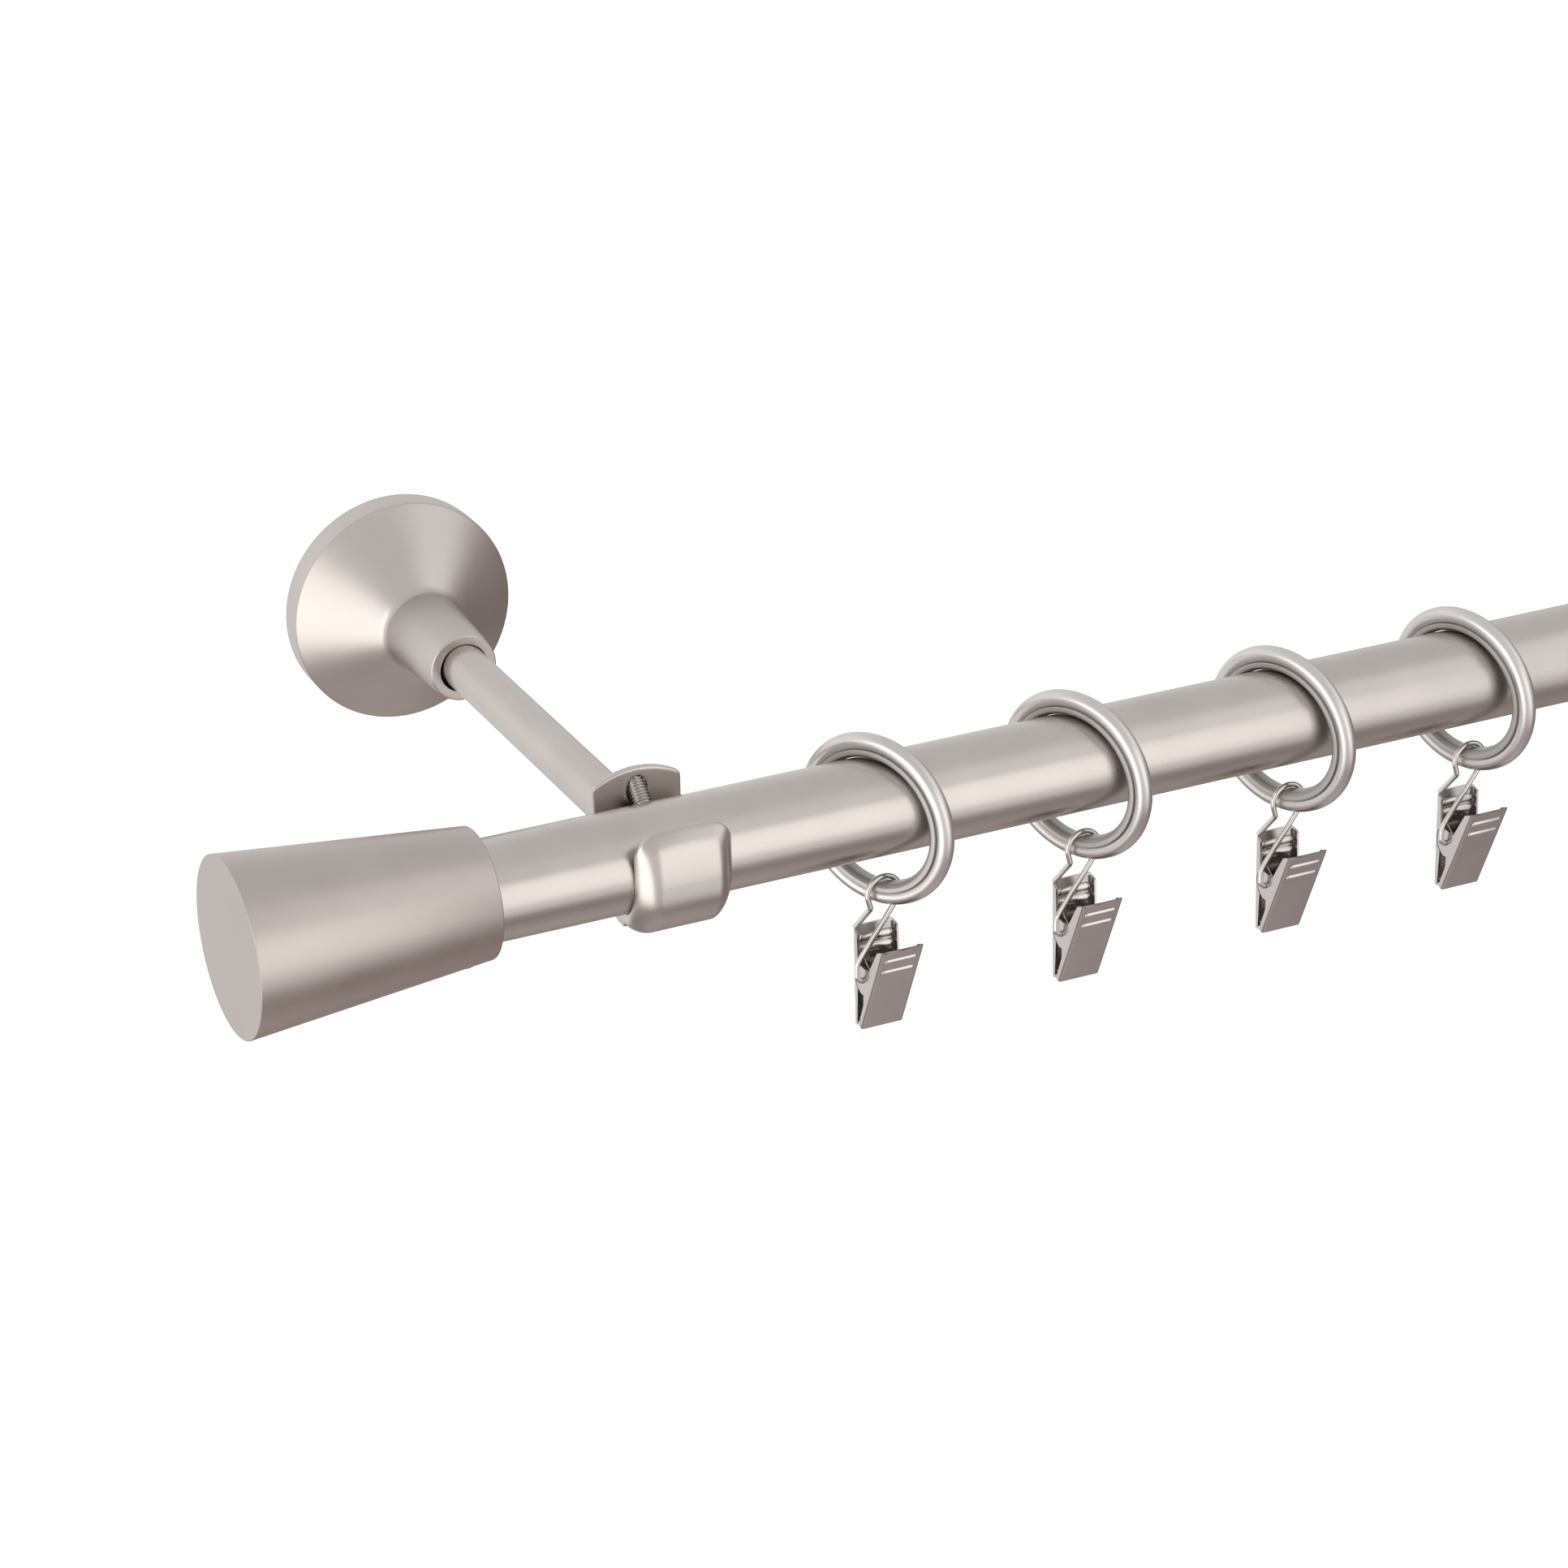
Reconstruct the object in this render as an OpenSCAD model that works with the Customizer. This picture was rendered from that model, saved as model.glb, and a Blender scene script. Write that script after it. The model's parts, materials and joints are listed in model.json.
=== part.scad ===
// Curtain rod set for wall mounting: a round rod with two cone finials, two brackets with
// wall cups and screw-clamp cradles, and clip rings that slide along the rod.
// Millimetres. X runs along the rod, +Y points into the wall, +Z is up.
// The origin is the middle of the left wall plate's back face.

/* [Rod] */
// Length of the rod tube
rod_len = 1200; // [900:10:1600]
// Outer diameter of the rod tube
rod_d = 25; // [20:0.5:28]
// Wall of the rod tube
rod_wall = 1; // [0.8:0.1:1.5]

/* [Finials] */
// Length of a finial
finial_len = 61.6; // [50:0.1:80]
// Diameter of the large end
finial_big_d = 44; // [36:0.1:60]
// Diameter of the small end at the mouth
finial_small_d = 32; // [31:0.1:40]
// Depth to which the rod sits in a finial
finial_socket = 30; // [20:0.5:36]
// Wall of the hollow part
finial_wall = 2; // [1.5:0.1:3]
// Chamfer of a finial's ends
finial_edge = 0.3; // [0.2:0.1:1]
// Diameter of the finial's locking screw
lock_screw_d = 4; // [3:0.5:5]
// Diameter of the locking screw's head
lock_head_d = 7.6; // [6.5:0.1:8]
// Height of the locking screw's head
lock_head_h = 1.3; // [1:0.1:2]
// Distance of the locking screw from the mouth
lock_screw_inset = 4.8; // [4.6:0.1:16]

/* [Brackets] */
// Distance from the wall to the rod's axis
projection = 174.4; // [100:0.1:200]
// Height of the arm's axis above the rod's axis
arm_rise = 0.5; // [0:0.1:2]
// Diameter of a bracket arm
arm_d = 12; // [10:0.1:13]
// Distance from a bracket's axis to the finial's mouth
bracket_inset = 46.8; // [30:0.1:80]
// Diameter of the threaded spigot at the wall end of the arm
spigot_d = 8; // [6:0.5:9]

/* [Wall plate] */
// Diameter of the wall plate
plate_d = 50; // [40:0.5:52]
// Thickness of the wall plate
plate_t = 3; // [2:0.1:4]
// Diameter of the boss that holds the arm
boss_d = 18; // [15:0.5:20]
// Length of the boss in front of the plate
boss_len = 8; // [6:0.5:12]
// Diameter of the circle of screw holes
screw_circle_d = 36; // [34:0.5:40]
// Diameter of a screw hole
screw_hole_d = 5; // [4:0.1:5.5]
// Number of screw holes
screw_holes = 3;

/* [Wall cup] */
// Largest diameter of a cup
cup_d = 61.2; // [57:0.1:70]
// Length of a cup from the wall to the end of its neck
cup_len = 51; // [44:0.1:60]
// Depth of the rounded rim
cup_rim = 5.9; // [3:0.1:8]
// Rounding between the rim and the cone
cup_round = 2.6; // [1:0.1:4]
// Wall of the cup
cup_wall = 1.4; // [1:0.1:2]
// Distance from the wall to the foot of the neck
neck_foot = 26.2; // [24:0.1:29]
// Diameter of the neck at its foot
neck_foot_d = 21; // [20:0.1:23]
// Diameter of the neck at its end
neck_end_d = 18.2; // [17.5:0.1:19.5]
// Play between the neck's bore and the arm, as a difference of diameters
neck_play = 1; // [0.6:0.1:2]

/* [Cradle] */
// Width of the back plate
back_w = 23; // [18:0.1:30]
// Thickness of the back plate
back_t = 2.1; // [1.9:0.1:3]
// Height of the back plate above the clamp screw's hole
back_over = 0.4; // [0.3:0.1:2]
// Rise of the back plate's arched top from its corners
arch_rise = 3.4; // [2:0.1:5]
// Rounding of the back plate's corners
back_round = 1.4; // [0.5:0.1:2]
// Thickness under the rod
floor_t = 4; // [3:0.1:6]
// Width of the band under the rod
floor_w = 21.6; // [16:0.1:26]
// Width of the front lip
lip_w = 25; // [20:0.1:30]
// Thickness of the front lip
lip_t = 5.7; // [4.5:0.1:6.5]
// Height of the front lip above the rod's axis
lip_top = 12.7; // [10:0.1:14]
// Rounding of the front lip
lip_round = 4; // [3:0.1:4.4]
// Diameter of the clamp screw
clamp_d = 5; // [4:0.5:6]
// Length of the clamp screw
clamp_len = 8.5; // [8:0.5:12]
// Angle of the clamp screw from upright
clamp_angle = 48; // [45:1:52]

/* [Rings] */
// Play between the rod and a liner's bore, as a difference of diameters
ring_play = 7.9; // [7.5:0.1:9]
// Diameter of the hoop's round bar
hoop_bar_d = 4.5; // [4:0.1:5]
// Thickness of the liner between its bore and the hoop
liner_t = 1.55; // [1.2:0.05:1.8]
// How much wider the liner is than the hoop's bar
liner_over = 0.3; // [0.2:0.05:0.5]
// Rounding of the liner's bore
liner_round = 1.9; // [1.5:0.1:2.2]
// Gap left between the liner and the rod, and between the loop and the liner
hang_gap = 0.1; // [0.05:0.01:0.2]
// Distance of the first ring from its bracket
ring_1 = 57.8; // [50:0.1:62]
// Distance of the second ring from its bracket
ring_2 = 113.5; // [108:0.1:118]
// Distance of the third ring from its bracket
ring_3 = 173.1; // [168:0.1:178]
// Distance of the fourth ring from its bracket
ring_4 = 227.9; // [223:0.1:235]
// Turn of the first ring away from square to the rod
ring_turn = 27.8; // [10:0.1:28]
// Decrease of that turn from ring to ring
ring_turn_step = 3.2; // [0:0.1:3.3]
// Lean of the first ring along the rod
ring_lean = 1; // [0:0.1:2]
// Increase of that lean from ring to ring
ring_lean_step = 1; // [0:0.1:1.2]

/* [Hooks] */
// Diameter of the hook's wire
wire_d = 1.44; // [1.2:0.02:1.5]
// Play between the loop and the liner, as a difference of radii with the loop centred on the bar
loop_play = -0.1; // [-0.2:0.05:0.6]
// Distance from the loop's centre down to the clip's pin
hook_len = 23; // [21:0.1:26]
// Gap between the wire and the side of the clip
hook_gap = 0.8; // [0.5:0.1:1.5]

/* [Clips] */
// Width of a clip
clip_w = 11.7; // [9:0.1:13]
// Sheet thickness
sheet_t = 0.6; // [0.5:0.05:0.7]
// Distance from the pin to the rear jaw's back face
rear_off = 5.05; // [5:0.05:5.6]
// Lean of the rear jaw
rear_lean = 1.9; // [0:0.1:3]
// Length of the rear jaw above the pin
rear_up = 12.8; // [12:0.1:14]
// Length of the rear jaw below the pin
rear_down = 13.9; // [13:0.1:14.5]
// Distance from the pin to the front jaw's face
front_off = 5.4; // [5.2:0.05:6]
// Lean of the front jaw
front_lean = 23.7; // [22:0.1:24]
// Length of the front jaw above the pin
front_up = 11.8; // [11:0.1:14]
// Length of the front jaw below the pin
front_down = 14.2; // [13.5:0.1:14.4]
// Depth of the flanges at the top of a jaw
flange_top = 2.2; // [1.6:0.1:2.4]
// Depth of the flanges at the tip of a jaw
flange_tip = 1.6; // [1.2:0.1:1.7]
// Height of the ears
ear_h = 8; // [7:0.1:8.2]
// Width of a rib pressed into the front jaw
front_rib_w = 1.6; // [1:0.1:2]
// Height of a rib pressed into the front jaw
front_rib_h = 0.45; // [0.3:0.05:0.6]
// Distance of the front jaw's first rib from its top edge
front_rib_top = 3.4; // [2.6:0.1:4]
// Distance between the front jaw's ribs
front_rib_step = 4; // [2.4:0.1:4.2]
// Width of a rib pressed into the rear jaw
rear_rib_w = 2.5; // [2:0.1:2.7]
// Height of a rib pressed into the rear jaw
rear_rib_h = 0.7; // [0.4:0.05:0.8]
// Distance of the rear jaw's first rib from its top edge
rear_rib_top = 3.75; // [3.4:0.05:4]
// Distance between the rear jaw's ribs
rear_rib_step = 2.85; // [2.75:0.05:3]
// Wire of the clip's spring
spring_wire_d = 0.5; // [0.4:0.05:0.5]
// Rise of the spring per curl
spring_pitch = 1; // [0.95:0.01:1.1]
// Full curls of the spring
spring_curls = 4; // [3:1:4]

/* [Hidden] */
fit_gap = 0.05;
seat_gap = 0.1;
cradle_gap = 0.1;
eps = 0.01;
cut_over = 1;

rod_r = rod_d / 2;
rod_y = -projection;
rod_z = -arm_rise;
rod_start = -(bracket_inset + finial_socket);
span = rod_len + 2 * rod_start;
finial_end = -(bracket_inset + finial_len);
finial_neck = 2;
lock_head_edge = 0.5;
lock_slot_w = 1;
lock_slot_d = 0.8;

seat_r = rod_r + cradle_gap;
back_face = seat_r + back_t;
clamp_hole_r = clamp_d / 2 + fit_gap;
back_top = back_face / tan(clamp_angle) + clamp_hole_r / sin(clamp_angle) + back_over;
arm_y0 = rod_y + back_face;
arm_r = arm_d / 2;
boss_y = -(plate_t + boss_len);
screw_head_r = 4;
screw_head_h = 1.2;
screw_shank_r = 2;
screw_depth = 12;
screw_key_r = 1.25;
screw_key_depth = 1.4;

arch_r = (back_w * back_w / 4 + arch_rise * arch_rise) / (2 * arch_rise);
clamp_tip = 0.8;
clamp_seat = 0.02;
clamp_key_depth = 2.8;

cup_r = cup_d / 2;
neck_bore_d = arm_d + neck_play;
cup_drop = neck_play / 2 - fit_gap;
cup_gap = 0.3;
cup_edge = 0.6;
neck_edge = 0.6;
inner_round = cup_round - cup_wall + 0.4;
cone_a = atan2(cup_r - cup_round - neck_foot_d / 2, neck_foot - cup_rim);

left_rings = [ring_1, ring_2, ring_3, ring_4];
right_rings = [ring_1, ring_2, ring_3];
left_count = len(left_rings);

liner_r = (rod_d + ring_play) / 2;
hoop_bar_r = hoop_bar_d / 2;
hoop_r = liner_r + liner_t + hoop_bar_r;
liner_seat = 0.03;
liner_w = hoop_bar_d + liner_over;
liner_edge = 0.8;

wire_r = wire_d / 2;
loop_r = hoop_bar_r + liner_t + wire_r + loop_play;
hook_plane = -1.4;
hook_gap_x = hook_gap + wire_r;
pin_bend = 1.5;
leg_bend = 4;
leg_start = 3.4;
kink_turn = 15;
kink_len = 2.2;
kink_bend = 1.2;
joint_len = 0.3;
joint_over = 0.03;
pin_over = 0.3;
tip_over = 0.2;
tip_inset = 0.1;

pin_play = 0.07;
pin_hole_r = wire_r + pin_play;
rear_ear_x = sheet_t + seat_gap;
rear_ear_r = 2.6;
notch_h = ear_h + 1.2;
front_rib_inset = 1.4;
rear_rib_inset = sheet_t + 0.3;
rear_corner_r = 1.6;
front_corner_r = 0.5;
teeth = 5;
tooth_h = 0.35;

spring_r = spring_wire_d / 2;
coil_play = 0.35;
coil_r = wire_r + coil_play + spring_r;
spring_x = 2.2;
rear_leg_z = 4.6;
front_leg_z = 8;
front_leg_gap = 0.12;
spring_sides = 6;

turns = [for (k = [0 : left_count - 1]) ring_turn - k * ring_turn_step];
leans = [for (k = [0 : left_count - 1]) -ring_lean - k * ring_lean_step];

// A point of a ring's own frame, leaned and turned with the ring
function ring_point(p, k) =
    let (
        u = p.x * cos(leans[k]) + p.z * sin(leans[k]),
        w = -p.x * sin(leans[k]) + p.z * cos(leans[k])
    )
    [u * cos(turns[k]) - p.y * sin(turns[k]), u * sin(turns[k]) + p.y * cos(turns[k]), w];

// Half of the liner's rounded bore, as distance along the ring's axis and radius
liner_side = [
    for (a = [0 : 15 : 90])
        [liner_w / 2 - liner_round + liner_round * sin(a), liner_r + liner_round * (1 - cos(a))]
];

// How far a ring's centre hangs below the rod's axis: the liner just clears the rod
bore_points = [
    for (side = [-1, 1]) for (p = liner_side) for (a = [-60 : 2 : 60])
        [side * p.x, p.y * sin(a), p.y * cos(a)]
];
function above_rod(p) = abs(p.y) < rod_r ? p.z - sqrt(rod_r * rod_r - p.y * p.y) : rod_d;
drops = [
    for (k = [0 : left_count - 1])
        min([for (p = bore_points) above_rod(ring_point(p, k))]) - hang_gap
];

// Where a hoop's bar crosses the hook's plane, as x and z from the ring's plane and the rod's axis
function bar_point(k) =
    let (
        across = (hook_plane + hoop_r * sin(leans[k]) * sin(turns[k])) / cos(turns[k]),
        p = ring_point([0, across, -sqrt(hoop_r * hoop_r - across * across)], k)
    )
    [p.x, p.z - drops[k]];

// Height of a loop's centre: the wire just clears the liner's bore, on which the loop hangs
low_points = [
    for (side = [-1, 1]) for (p = liner_side) for (a = [-16 : 0.5 : 8])
        [side * p.x, p.y * sin(a), -p.y * cos(a)]
];
function wire_reach(d) = loop_r - sqrt(wire_r * wire_r - d * d) - hang_gap;
function loop_z(k) = max([
    for (q = low_points)
        let (p = ring_point(q, k), d = p.y - hook_plane)
        if (abs(d) < wire_r)
            p.z - drops[k] - sqrt(pow(wire_reach(d), 2) - pow(p.x - bar_point(k).x, 2))
]);

// Centres of the hook's loops, and the clips' pins at their left ends
loops = [for (k = [0 : left_count - 1]) [bar_point(k).x, loop_z(k)]];
pins = [for (p = loops) [p.x - clip_w / 2, hook_plane, p.y - hook_len]];

// Points of an arc, in a plane
function arc(c, r, a0, a1, n) =
    [for (i = [0 : n]) c + r * [cos(a0 + (a1 - a0) * i / n), sin(a0 + (a1 - a0) * i / n)]];

function unit(v) = v / norm(v);

module rod_frame() {
    translate([0, rod_y, rod_z]) children();
}

module right_side() {
    translate([span, 0, 0]) mirror([1, 0, 0]) children();
}

module both_sides() {
    children();
    right_side() children();
}

// Cylinder along +X and along +Y
module along_x(len, r, fn = 64) {
    rotate([0, 90, 0]) cylinder(h = len, r = r, $fn = fn);
}

module along_y(len, r, fn = 64) {
    rotate([-90, 0, 0]) cylinder(h = len, r = r, $fn = fn);
}

module rod_tube() {
    color("silver") rod_frame() translate([rod_start, 0, 0]) difference() {
        along_x(rod_len, rod_r, 96);
        translate([-cut_over, 0, 0]) along_x(rod_len + 2 * cut_over, rod_r - rod_wall, 96);
    }
}

// Radius of the finial at a distance from its large end
function finial_r(x) = (finial_big_d + (finial_small_d - finial_big_d) * x / finial_len) / 2;

module finial_profile() {
    polygon([
        [0, 0],
        [finial_big_d / 2 - finial_edge, 0],
        [finial_r(finial_edge), finial_edge],
        [finial_r(finial_len - finial_edge), finial_len - finial_edge],
        [finial_small_d / 2 - finial_edge, finial_len],
        [0, finial_len]
    ]);
}

module finial_hollow() {
    depth = finial_len - finial_socket;
    polygon([
        [0, finial_wall],
        [finial_r(finial_wall) - finial_wall, finial_wall],
        [rod_r - rod_wall, depth - finial_neck],
        [rod_r - rod_wall, depth + eps],
        [0, depth + eps]
    ]);
}

module finial() {
    color("silver") rod_frame() translate([finial_end, 0, 0]) difference() {
        rotate([0, 90, 0]) rotate_extrude($fn = 96) finial_profile();
        rotate([0, 90, 0]) rotate_extrude($fn = 96) finial_hollow();
        translate([finial_len - finial_socket, 0, 0])
            along_x(finial_socket + cut_over, rod_r + fit_gap, 96);
        translate([finial_len - lock_screw_inset, 0, -finial_big_d / 2]) {
            cylinder(h = finial_big_d / 2, r = lock_screw_d / 2 + fit_gap, $fn = 32);
            cylinder(h = finial_big_d / 2 - lock_seat, r = lock_head_d / 2 + seat_gap, $fn = 48);
        }
    }
}

// Flat on which the locking screw's head lies, as a distance below the rod's axis
lock_seat = finial_r(finial_len - lock_screw_inset + lock_head_d / 2);

// Locking screw of a finial: a low head with a cross slot, and a shank that ends at the rod
module finial_screw() {
    head_r = lock_head_d / 2;
    slot = lock_head_d - 2 * lock_slot_w;
    color("dimgray") rod_frame() translate([-(bracket_inset + lock_screw_inset), 0, -lock_seat]) {
        cylinder(h = lock_seat - rod_r - fit_gap, r = lock_screw_d / 2, $fn = 32);
        difference() {
            translate([0, 0, -lock_head_h]) union() {
                cylinder(h = lock_head_edge, r1 = head_r - lock_head_edge, r2 = head_r, $fn = 48);
                translate([0, 0, lock_head_edge])
                    cylinder(h = lock_head_h - lock_head_edge, r = head_r, $fn = 48);
            }
            for (size = [[slot, lock_slot_w], [lock_slot_w, slot]])
                translate([-size.x / 2, -size.y / 2, -lock_head_h - eps])
                    cube([size.x, size.y, lock_slot_d + eps]);
        }
    }
}

module wall_plate() {
    color("gray") difference() {
        union() {
            translate([0, -plate_t, 0]) along_y(plate_t, plate_d / 2, 96);
            translate([0, boss_y, 0]) along_y(boss_len + eps, boss_d / 2);
        }
        translate([0, boss_y - cut_over, 0]) along_y(-boss_y + 2 * cut_over, spigot_d / 2 + fit_gap);
        for (i = [0 : screw_holes - 1])
            rotate([0, 360 * i / screw_holes, 0]) translate([0, -plate_t - cut_over, screw_circle_d / 2])
                along_y(plate_t + 2 * cut_over, screw_hole_d / 2, 32);
    }
}

module bracket_arm() {
    color("silver") difference() {
        union() {
            translate([0, arm_y0, 0]) along_y(boss_y - arm_y0, arm_r);
            translate([0, boss_y - eps, 0]) along_y(-boss_y + eps, spigot_d / 2);
        }
        translate([0, arm_y0 - cut_over, 0]) along_y(screw_depth + 2 * cut_over, screw_shank_r + fit_gap, 32);
    }
}

// Screw that holds the arm to the cradle's back plate, with its head sunk in the plate
module arm_screw() {
    color("dimgray") translate([0, rod_y + seat_r, 0]) difference() {
        union() {
            translate([0, seat_gap, 0]) along_y(screw_head_h, screw_head_r, 48);
            translate([0, seat_gap, 0]) along_y(back_t + screw_depth, screw_shank_r, 32);
        }
        translate([0, -cut_over, 0]) along_y(cut_over + screw_key_depth, screw_key_r, 6);
    }
}

// Fillet between the cone and the neck, as radius beyond the neck's and distance from its foot
neck_fillet = [[1.6, -0.9], [0.5, 0.4], [0, 2]];

// Outline of the cup's skin, as radius against distance from the wall
module cup_outer() {
    polygon(concat(
        [[0, 0], [cup_r - cup_edge, 0], [cup_r, cup_edge]],
        arc([cup_r - cup_round, cup_rim], cup_round, 0, cone_a, 6),
        [for (p = neck_fillet) [neck_foot_d / 2 + p.x, neck_foot + p.y]],
        [[neck_end_d / 2, cup_len - neck_edge], [neck_end_d / 2 - neck_edge, cup_len], [0, cup_len]]
    ));
}

// Where the cone's inner face meets the neck's bore
inner_foot = [neck_foot_d / 2 - cup_wall + 1.2, neck_foot - 2.4];

module cup_inner() {
    round_c = [cup_r - cup_wall - inner_round, cup_rim - cup_wall + cup_round - inner_round];
    polygon(concat(
        [[0, -cut_over], [cup_r - cup_wall, -cut_over]],
        arc(round_c, inner_round, 0, cone_a, 4),
        [inner_foot, [neck_bore_d / 2, neck_foot]],
        [[neck_bore_d / 2, cup_len + cut_over], [0, cup_len + cut_over]]
    ));
}

module wall_cup() {
    color("silver") translate([0, -cup_gap, -cup_drop]) rotate([90, 0, 0]) difference() {
        rotate_extrude($fn = 96) cup_outer();
        rotate_extrude($fn = 96) cup_inner();
    }
}

module back_plate() {
    rotate([-90, 0, 0]) mirror([0, 1, 0]) translate([0, 0, seat_r]) linear_extrude(height = back_t) {
        offset(r = back_round, $fn = 32) offset(delta = -back_round) intersection() {
            translate([-back_w / 2, -floor_t]) square([back_w, floor_t + back_top]);
            translate([0, back_top - arch_r]) circle(r = arch_r, $fn = 128);
        }
    }
}

// Centres of the balls that round the front lip: half of its width, and its face, top and foot
lip_x = lip_w / 2 - lip_round;
lip_y = -(seat_r + lip_t - lip_round);
lip_z = lip_top - lip_round;
lip_foot = -(seat_r + floor_t - 0.5 - lip_round);
lip_corners = [
    [lip_x - 0.6, lip_y, lip_z - 1.2],
    [lip_x, lip_y, 2],
    [lip_x, lip_y + 0.3, -6],
    [lip_x - 0.8, -7.5, lip_foot],
    [0, lip_y + 0.4, lip_z - 0.4]
];

module front_lip() {
    hull() {
        for (p = lip_corners) for (side = [-1, 1])
            translate([side * p.x, p.y, p.z]) sphere(r = lip_round, $fn = 24);
    }
}

module clamp_axis() {
    rotate([-clamp_angle, 0, 0]) children();
}

module cradle() {
    color("darkgray") rod_frame() difference() {
        union() {
            back_plate();
            difference() {
                translate([-floor_w / 2, 0, 0]) along_x(floor_w, seat_r + floor_t, 96);
                translate([-back_w, -back_w, 0]) cube([2 * back_w, 2 * back_w, 2 * back_w]);
                translate([-back_w, back_face, -back_w]) cube([2 * back_w, back_w, 2 * back_w]);
            }
            front_lip();
        }
        translate([-back_w, 0, 0]) along_x(2 * back_w, seat_r, 96);
        translate([-back_w, -seat_r, 0]) cube([2 * back_w, 2 * seat_r, 2 * back_top]);
        clamp_axis() translate([0, 0, seat_r]) cylinder(h = 2 * back_face, r = clamp_hole_r, $fn = 48);
        translate([0, seat_r - cut_over, arm_rise]) {
            along_y(cut_over + seat_gap + screw_head_h + fit_gap, screw_head_r + fit_gap, 48);
            along_y(back_t + 2 * cut_over, screw_shank_r + fit_gap, 32);
        }
    }
}

module clamp_screw() {
    color("dimgray") rod_frame() clamp_axis() translate([0, 0, rod_r + clamp_seat]) difference() {
        union() {
            cylinder(h = clamp_tip, r1 = clamp_d / 2 - clamp_tip, r2 = clamp_d / 2, $fn = 48);
            translate([0, 0, clamp_tip - eps]) cylinder(h = clamp_len - clamp_tip, r = clamp_d / 2, $fn = 48);
        }
        translate([0, 0, clamp_len - clamp_key_depth])
            cylinder(h = clamp_key_depth + cut_over, r = clamp_d / 4, $fn = 6);
    }
}

// Frame of a ring: the middle of the hoop, leaned and turned, with the ring's axis along z
module ring_frame(k) {
    translate([0, 0, -drops[k]]) rotate([0, 0, turns[k]]) rotate([0, leans[k] + 90, 0]) children();
}

module hoop(k) {
    color("gainsboro") ring_frame(k)
        rotate_extrude($fn = 96) translate([hoop_r, 0]) circle(r = hoop_bar_r, $fn = 48);
}

module liner_section() {
    depth = hoop_r - liner_edge - liner_r;
    flat = liner_w / 2 - liner_round;
    translate([liner_r + liner_round, -liner_w / 2]) square([depth - liner_round, liner_w]);
    translate([liner_r, -flat]) square([depth, 2 * flat]);
    for (y = [-flat, flat])
        translate([liner_r + liner_round, y]) circle(r = liner_round, $fn = 48);
}

module liner(k) {
    color("white") ring_frame(k) rotate_extrude($fn = 96) difference() {
        liner_section();
        translate([hoop_r, 0]) circle(r = hoop_bar_r + liner_seat, $fn = 48);
    }
}

// Straight piece of wire between two points
module wire_run(a, b) {
    v = b - a;
    len = norm(v);
    translate(a) rotate([0, acos(v.z / len), atan2(v.y, v.x)]) cylinder(h = len, r = wire_r, $fn = 24);
}

// Bent piece of wire: from start, heading along dir, turned by angle towards side
module wire_bend(start, dir, side, r, angle) {
    c = start + r * side;
    w = cross(-side, dir);
    multmatrix([
        [-side.x, dir.x, w.x, c.x],
        [-side.y, dir.y, w.y, c.y],
        [-side.z, dir.z, w.z, c.z],
        [0, 0, 0, 1]
    ]) rotate_extrude(angle = angle, $fn = 96) translate([r, 0]) circle(r = wire_r, $fn = 24);
}

// Short collar over the joint of two pieces of wire, hardly thicker than the wire
module wire_joint(p, dir) {
    translate(p - joint_len / 2 * dir) rotate([0, acos(dir.z), atan2(dir.y, dir.x)])
        cylinder(h = joint_len, r = wire_r + joint_over, $fn = 24);
}

// The hook lies in one upright plane, apart from its tail: pin, bend, leg, loop, kink, tail
module hook(k) {
    lx = loops[k].x;
    lz = loops[k].y;
    pz = pins[k].z;
    cx = pins[k].x;
    leg_x = cx - hook_gap_x;
    pin_end = [cx + clip_w + pin_over, 0, pz];
    pin_start = [leg_x + pin_bend, 0, pz];
    up_start = [leg_x, 0, pz + pin_bend];
    up_end = [leg_x, 0, pz + leg_start];
    bend_c = [leg_x + leg_bend, 0, pz + leg_start];
    to_loop = [lx, 0, lz] - bend_c;
    lean = atan2(to_loop.z, to_loop.x) - asin((leg_bend + loop_r) / norm(to_loop));
    dir = [cos(lean), 0, sin(lean)];
    left = [-sin(lean), 0, cos(lean)];
    leg_a = bend_c + leg_bend * left;
    leg_b = [lx, 0, lz] - loop_r * left;
    out = 270 + kink_turn;
    out_dir = [cos(out), 0, sin(out)];
    out_left = [-sin(out), 0, cos(out)];
    loop_end = [lx, 0, lz] - loop_r * out_left;
    kink = loop_end + kink_len * out_dir;
    tip = [cx - tip_inset, rear_off - sheet_t, pz + rear_up + tip_over];
    tail = unit(tip - kink);
    side = unit(tail - (tail * out_dir) * out_dir);
    turn_a = acos(tail * out_dir);
    tail_start = kink + kink_bend * side * (1 - cos(turn_a)) + kink_bend * sin(turn_a) * out_dir;
    color("whitesmoke") translate([0, hook_plane, 0]) {
        wire_run(pin_end, pin_start);
        wire_bend(pin_start, [-1, 0, 0], [0, 0, 1], pin_bend, 90);
        wire_run(up_start, up_end);
        wire_bend(up_end, [0, 0, 1], [1, 0, 0], leg_bend, 90 - lean);
        wire_run(leg_a, leg_b);
        wire_bend(leg_b, dir, left, loop_r, out - lean);
        wire_run(loop_end, kink);
        wire_bend(kink, out_dir, side, kink_bend, turn_a);
        wire_run(tail_start, tail_start + norm(tip - tail_start) * tail);
        wire_joint(pin_start, [-1, 0, 0]);
        wire_joint(up_start, [0, 0, 1]);
        wire_joint(up_end, [0, 0, 1]);
        wire_joint(leg_a, dir);
        wire_joint(leg_b, dir);
        wire_joint(loop_end, out_dir);
        wire_joint(kink, out_dir);
        wire_joint(tail_start, tail);
    }
}

// Frame of a clip: its pin, with the clip's left side at x = 0
module clip_frame(k) {
    translate(pins[k]) children();
}

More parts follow.
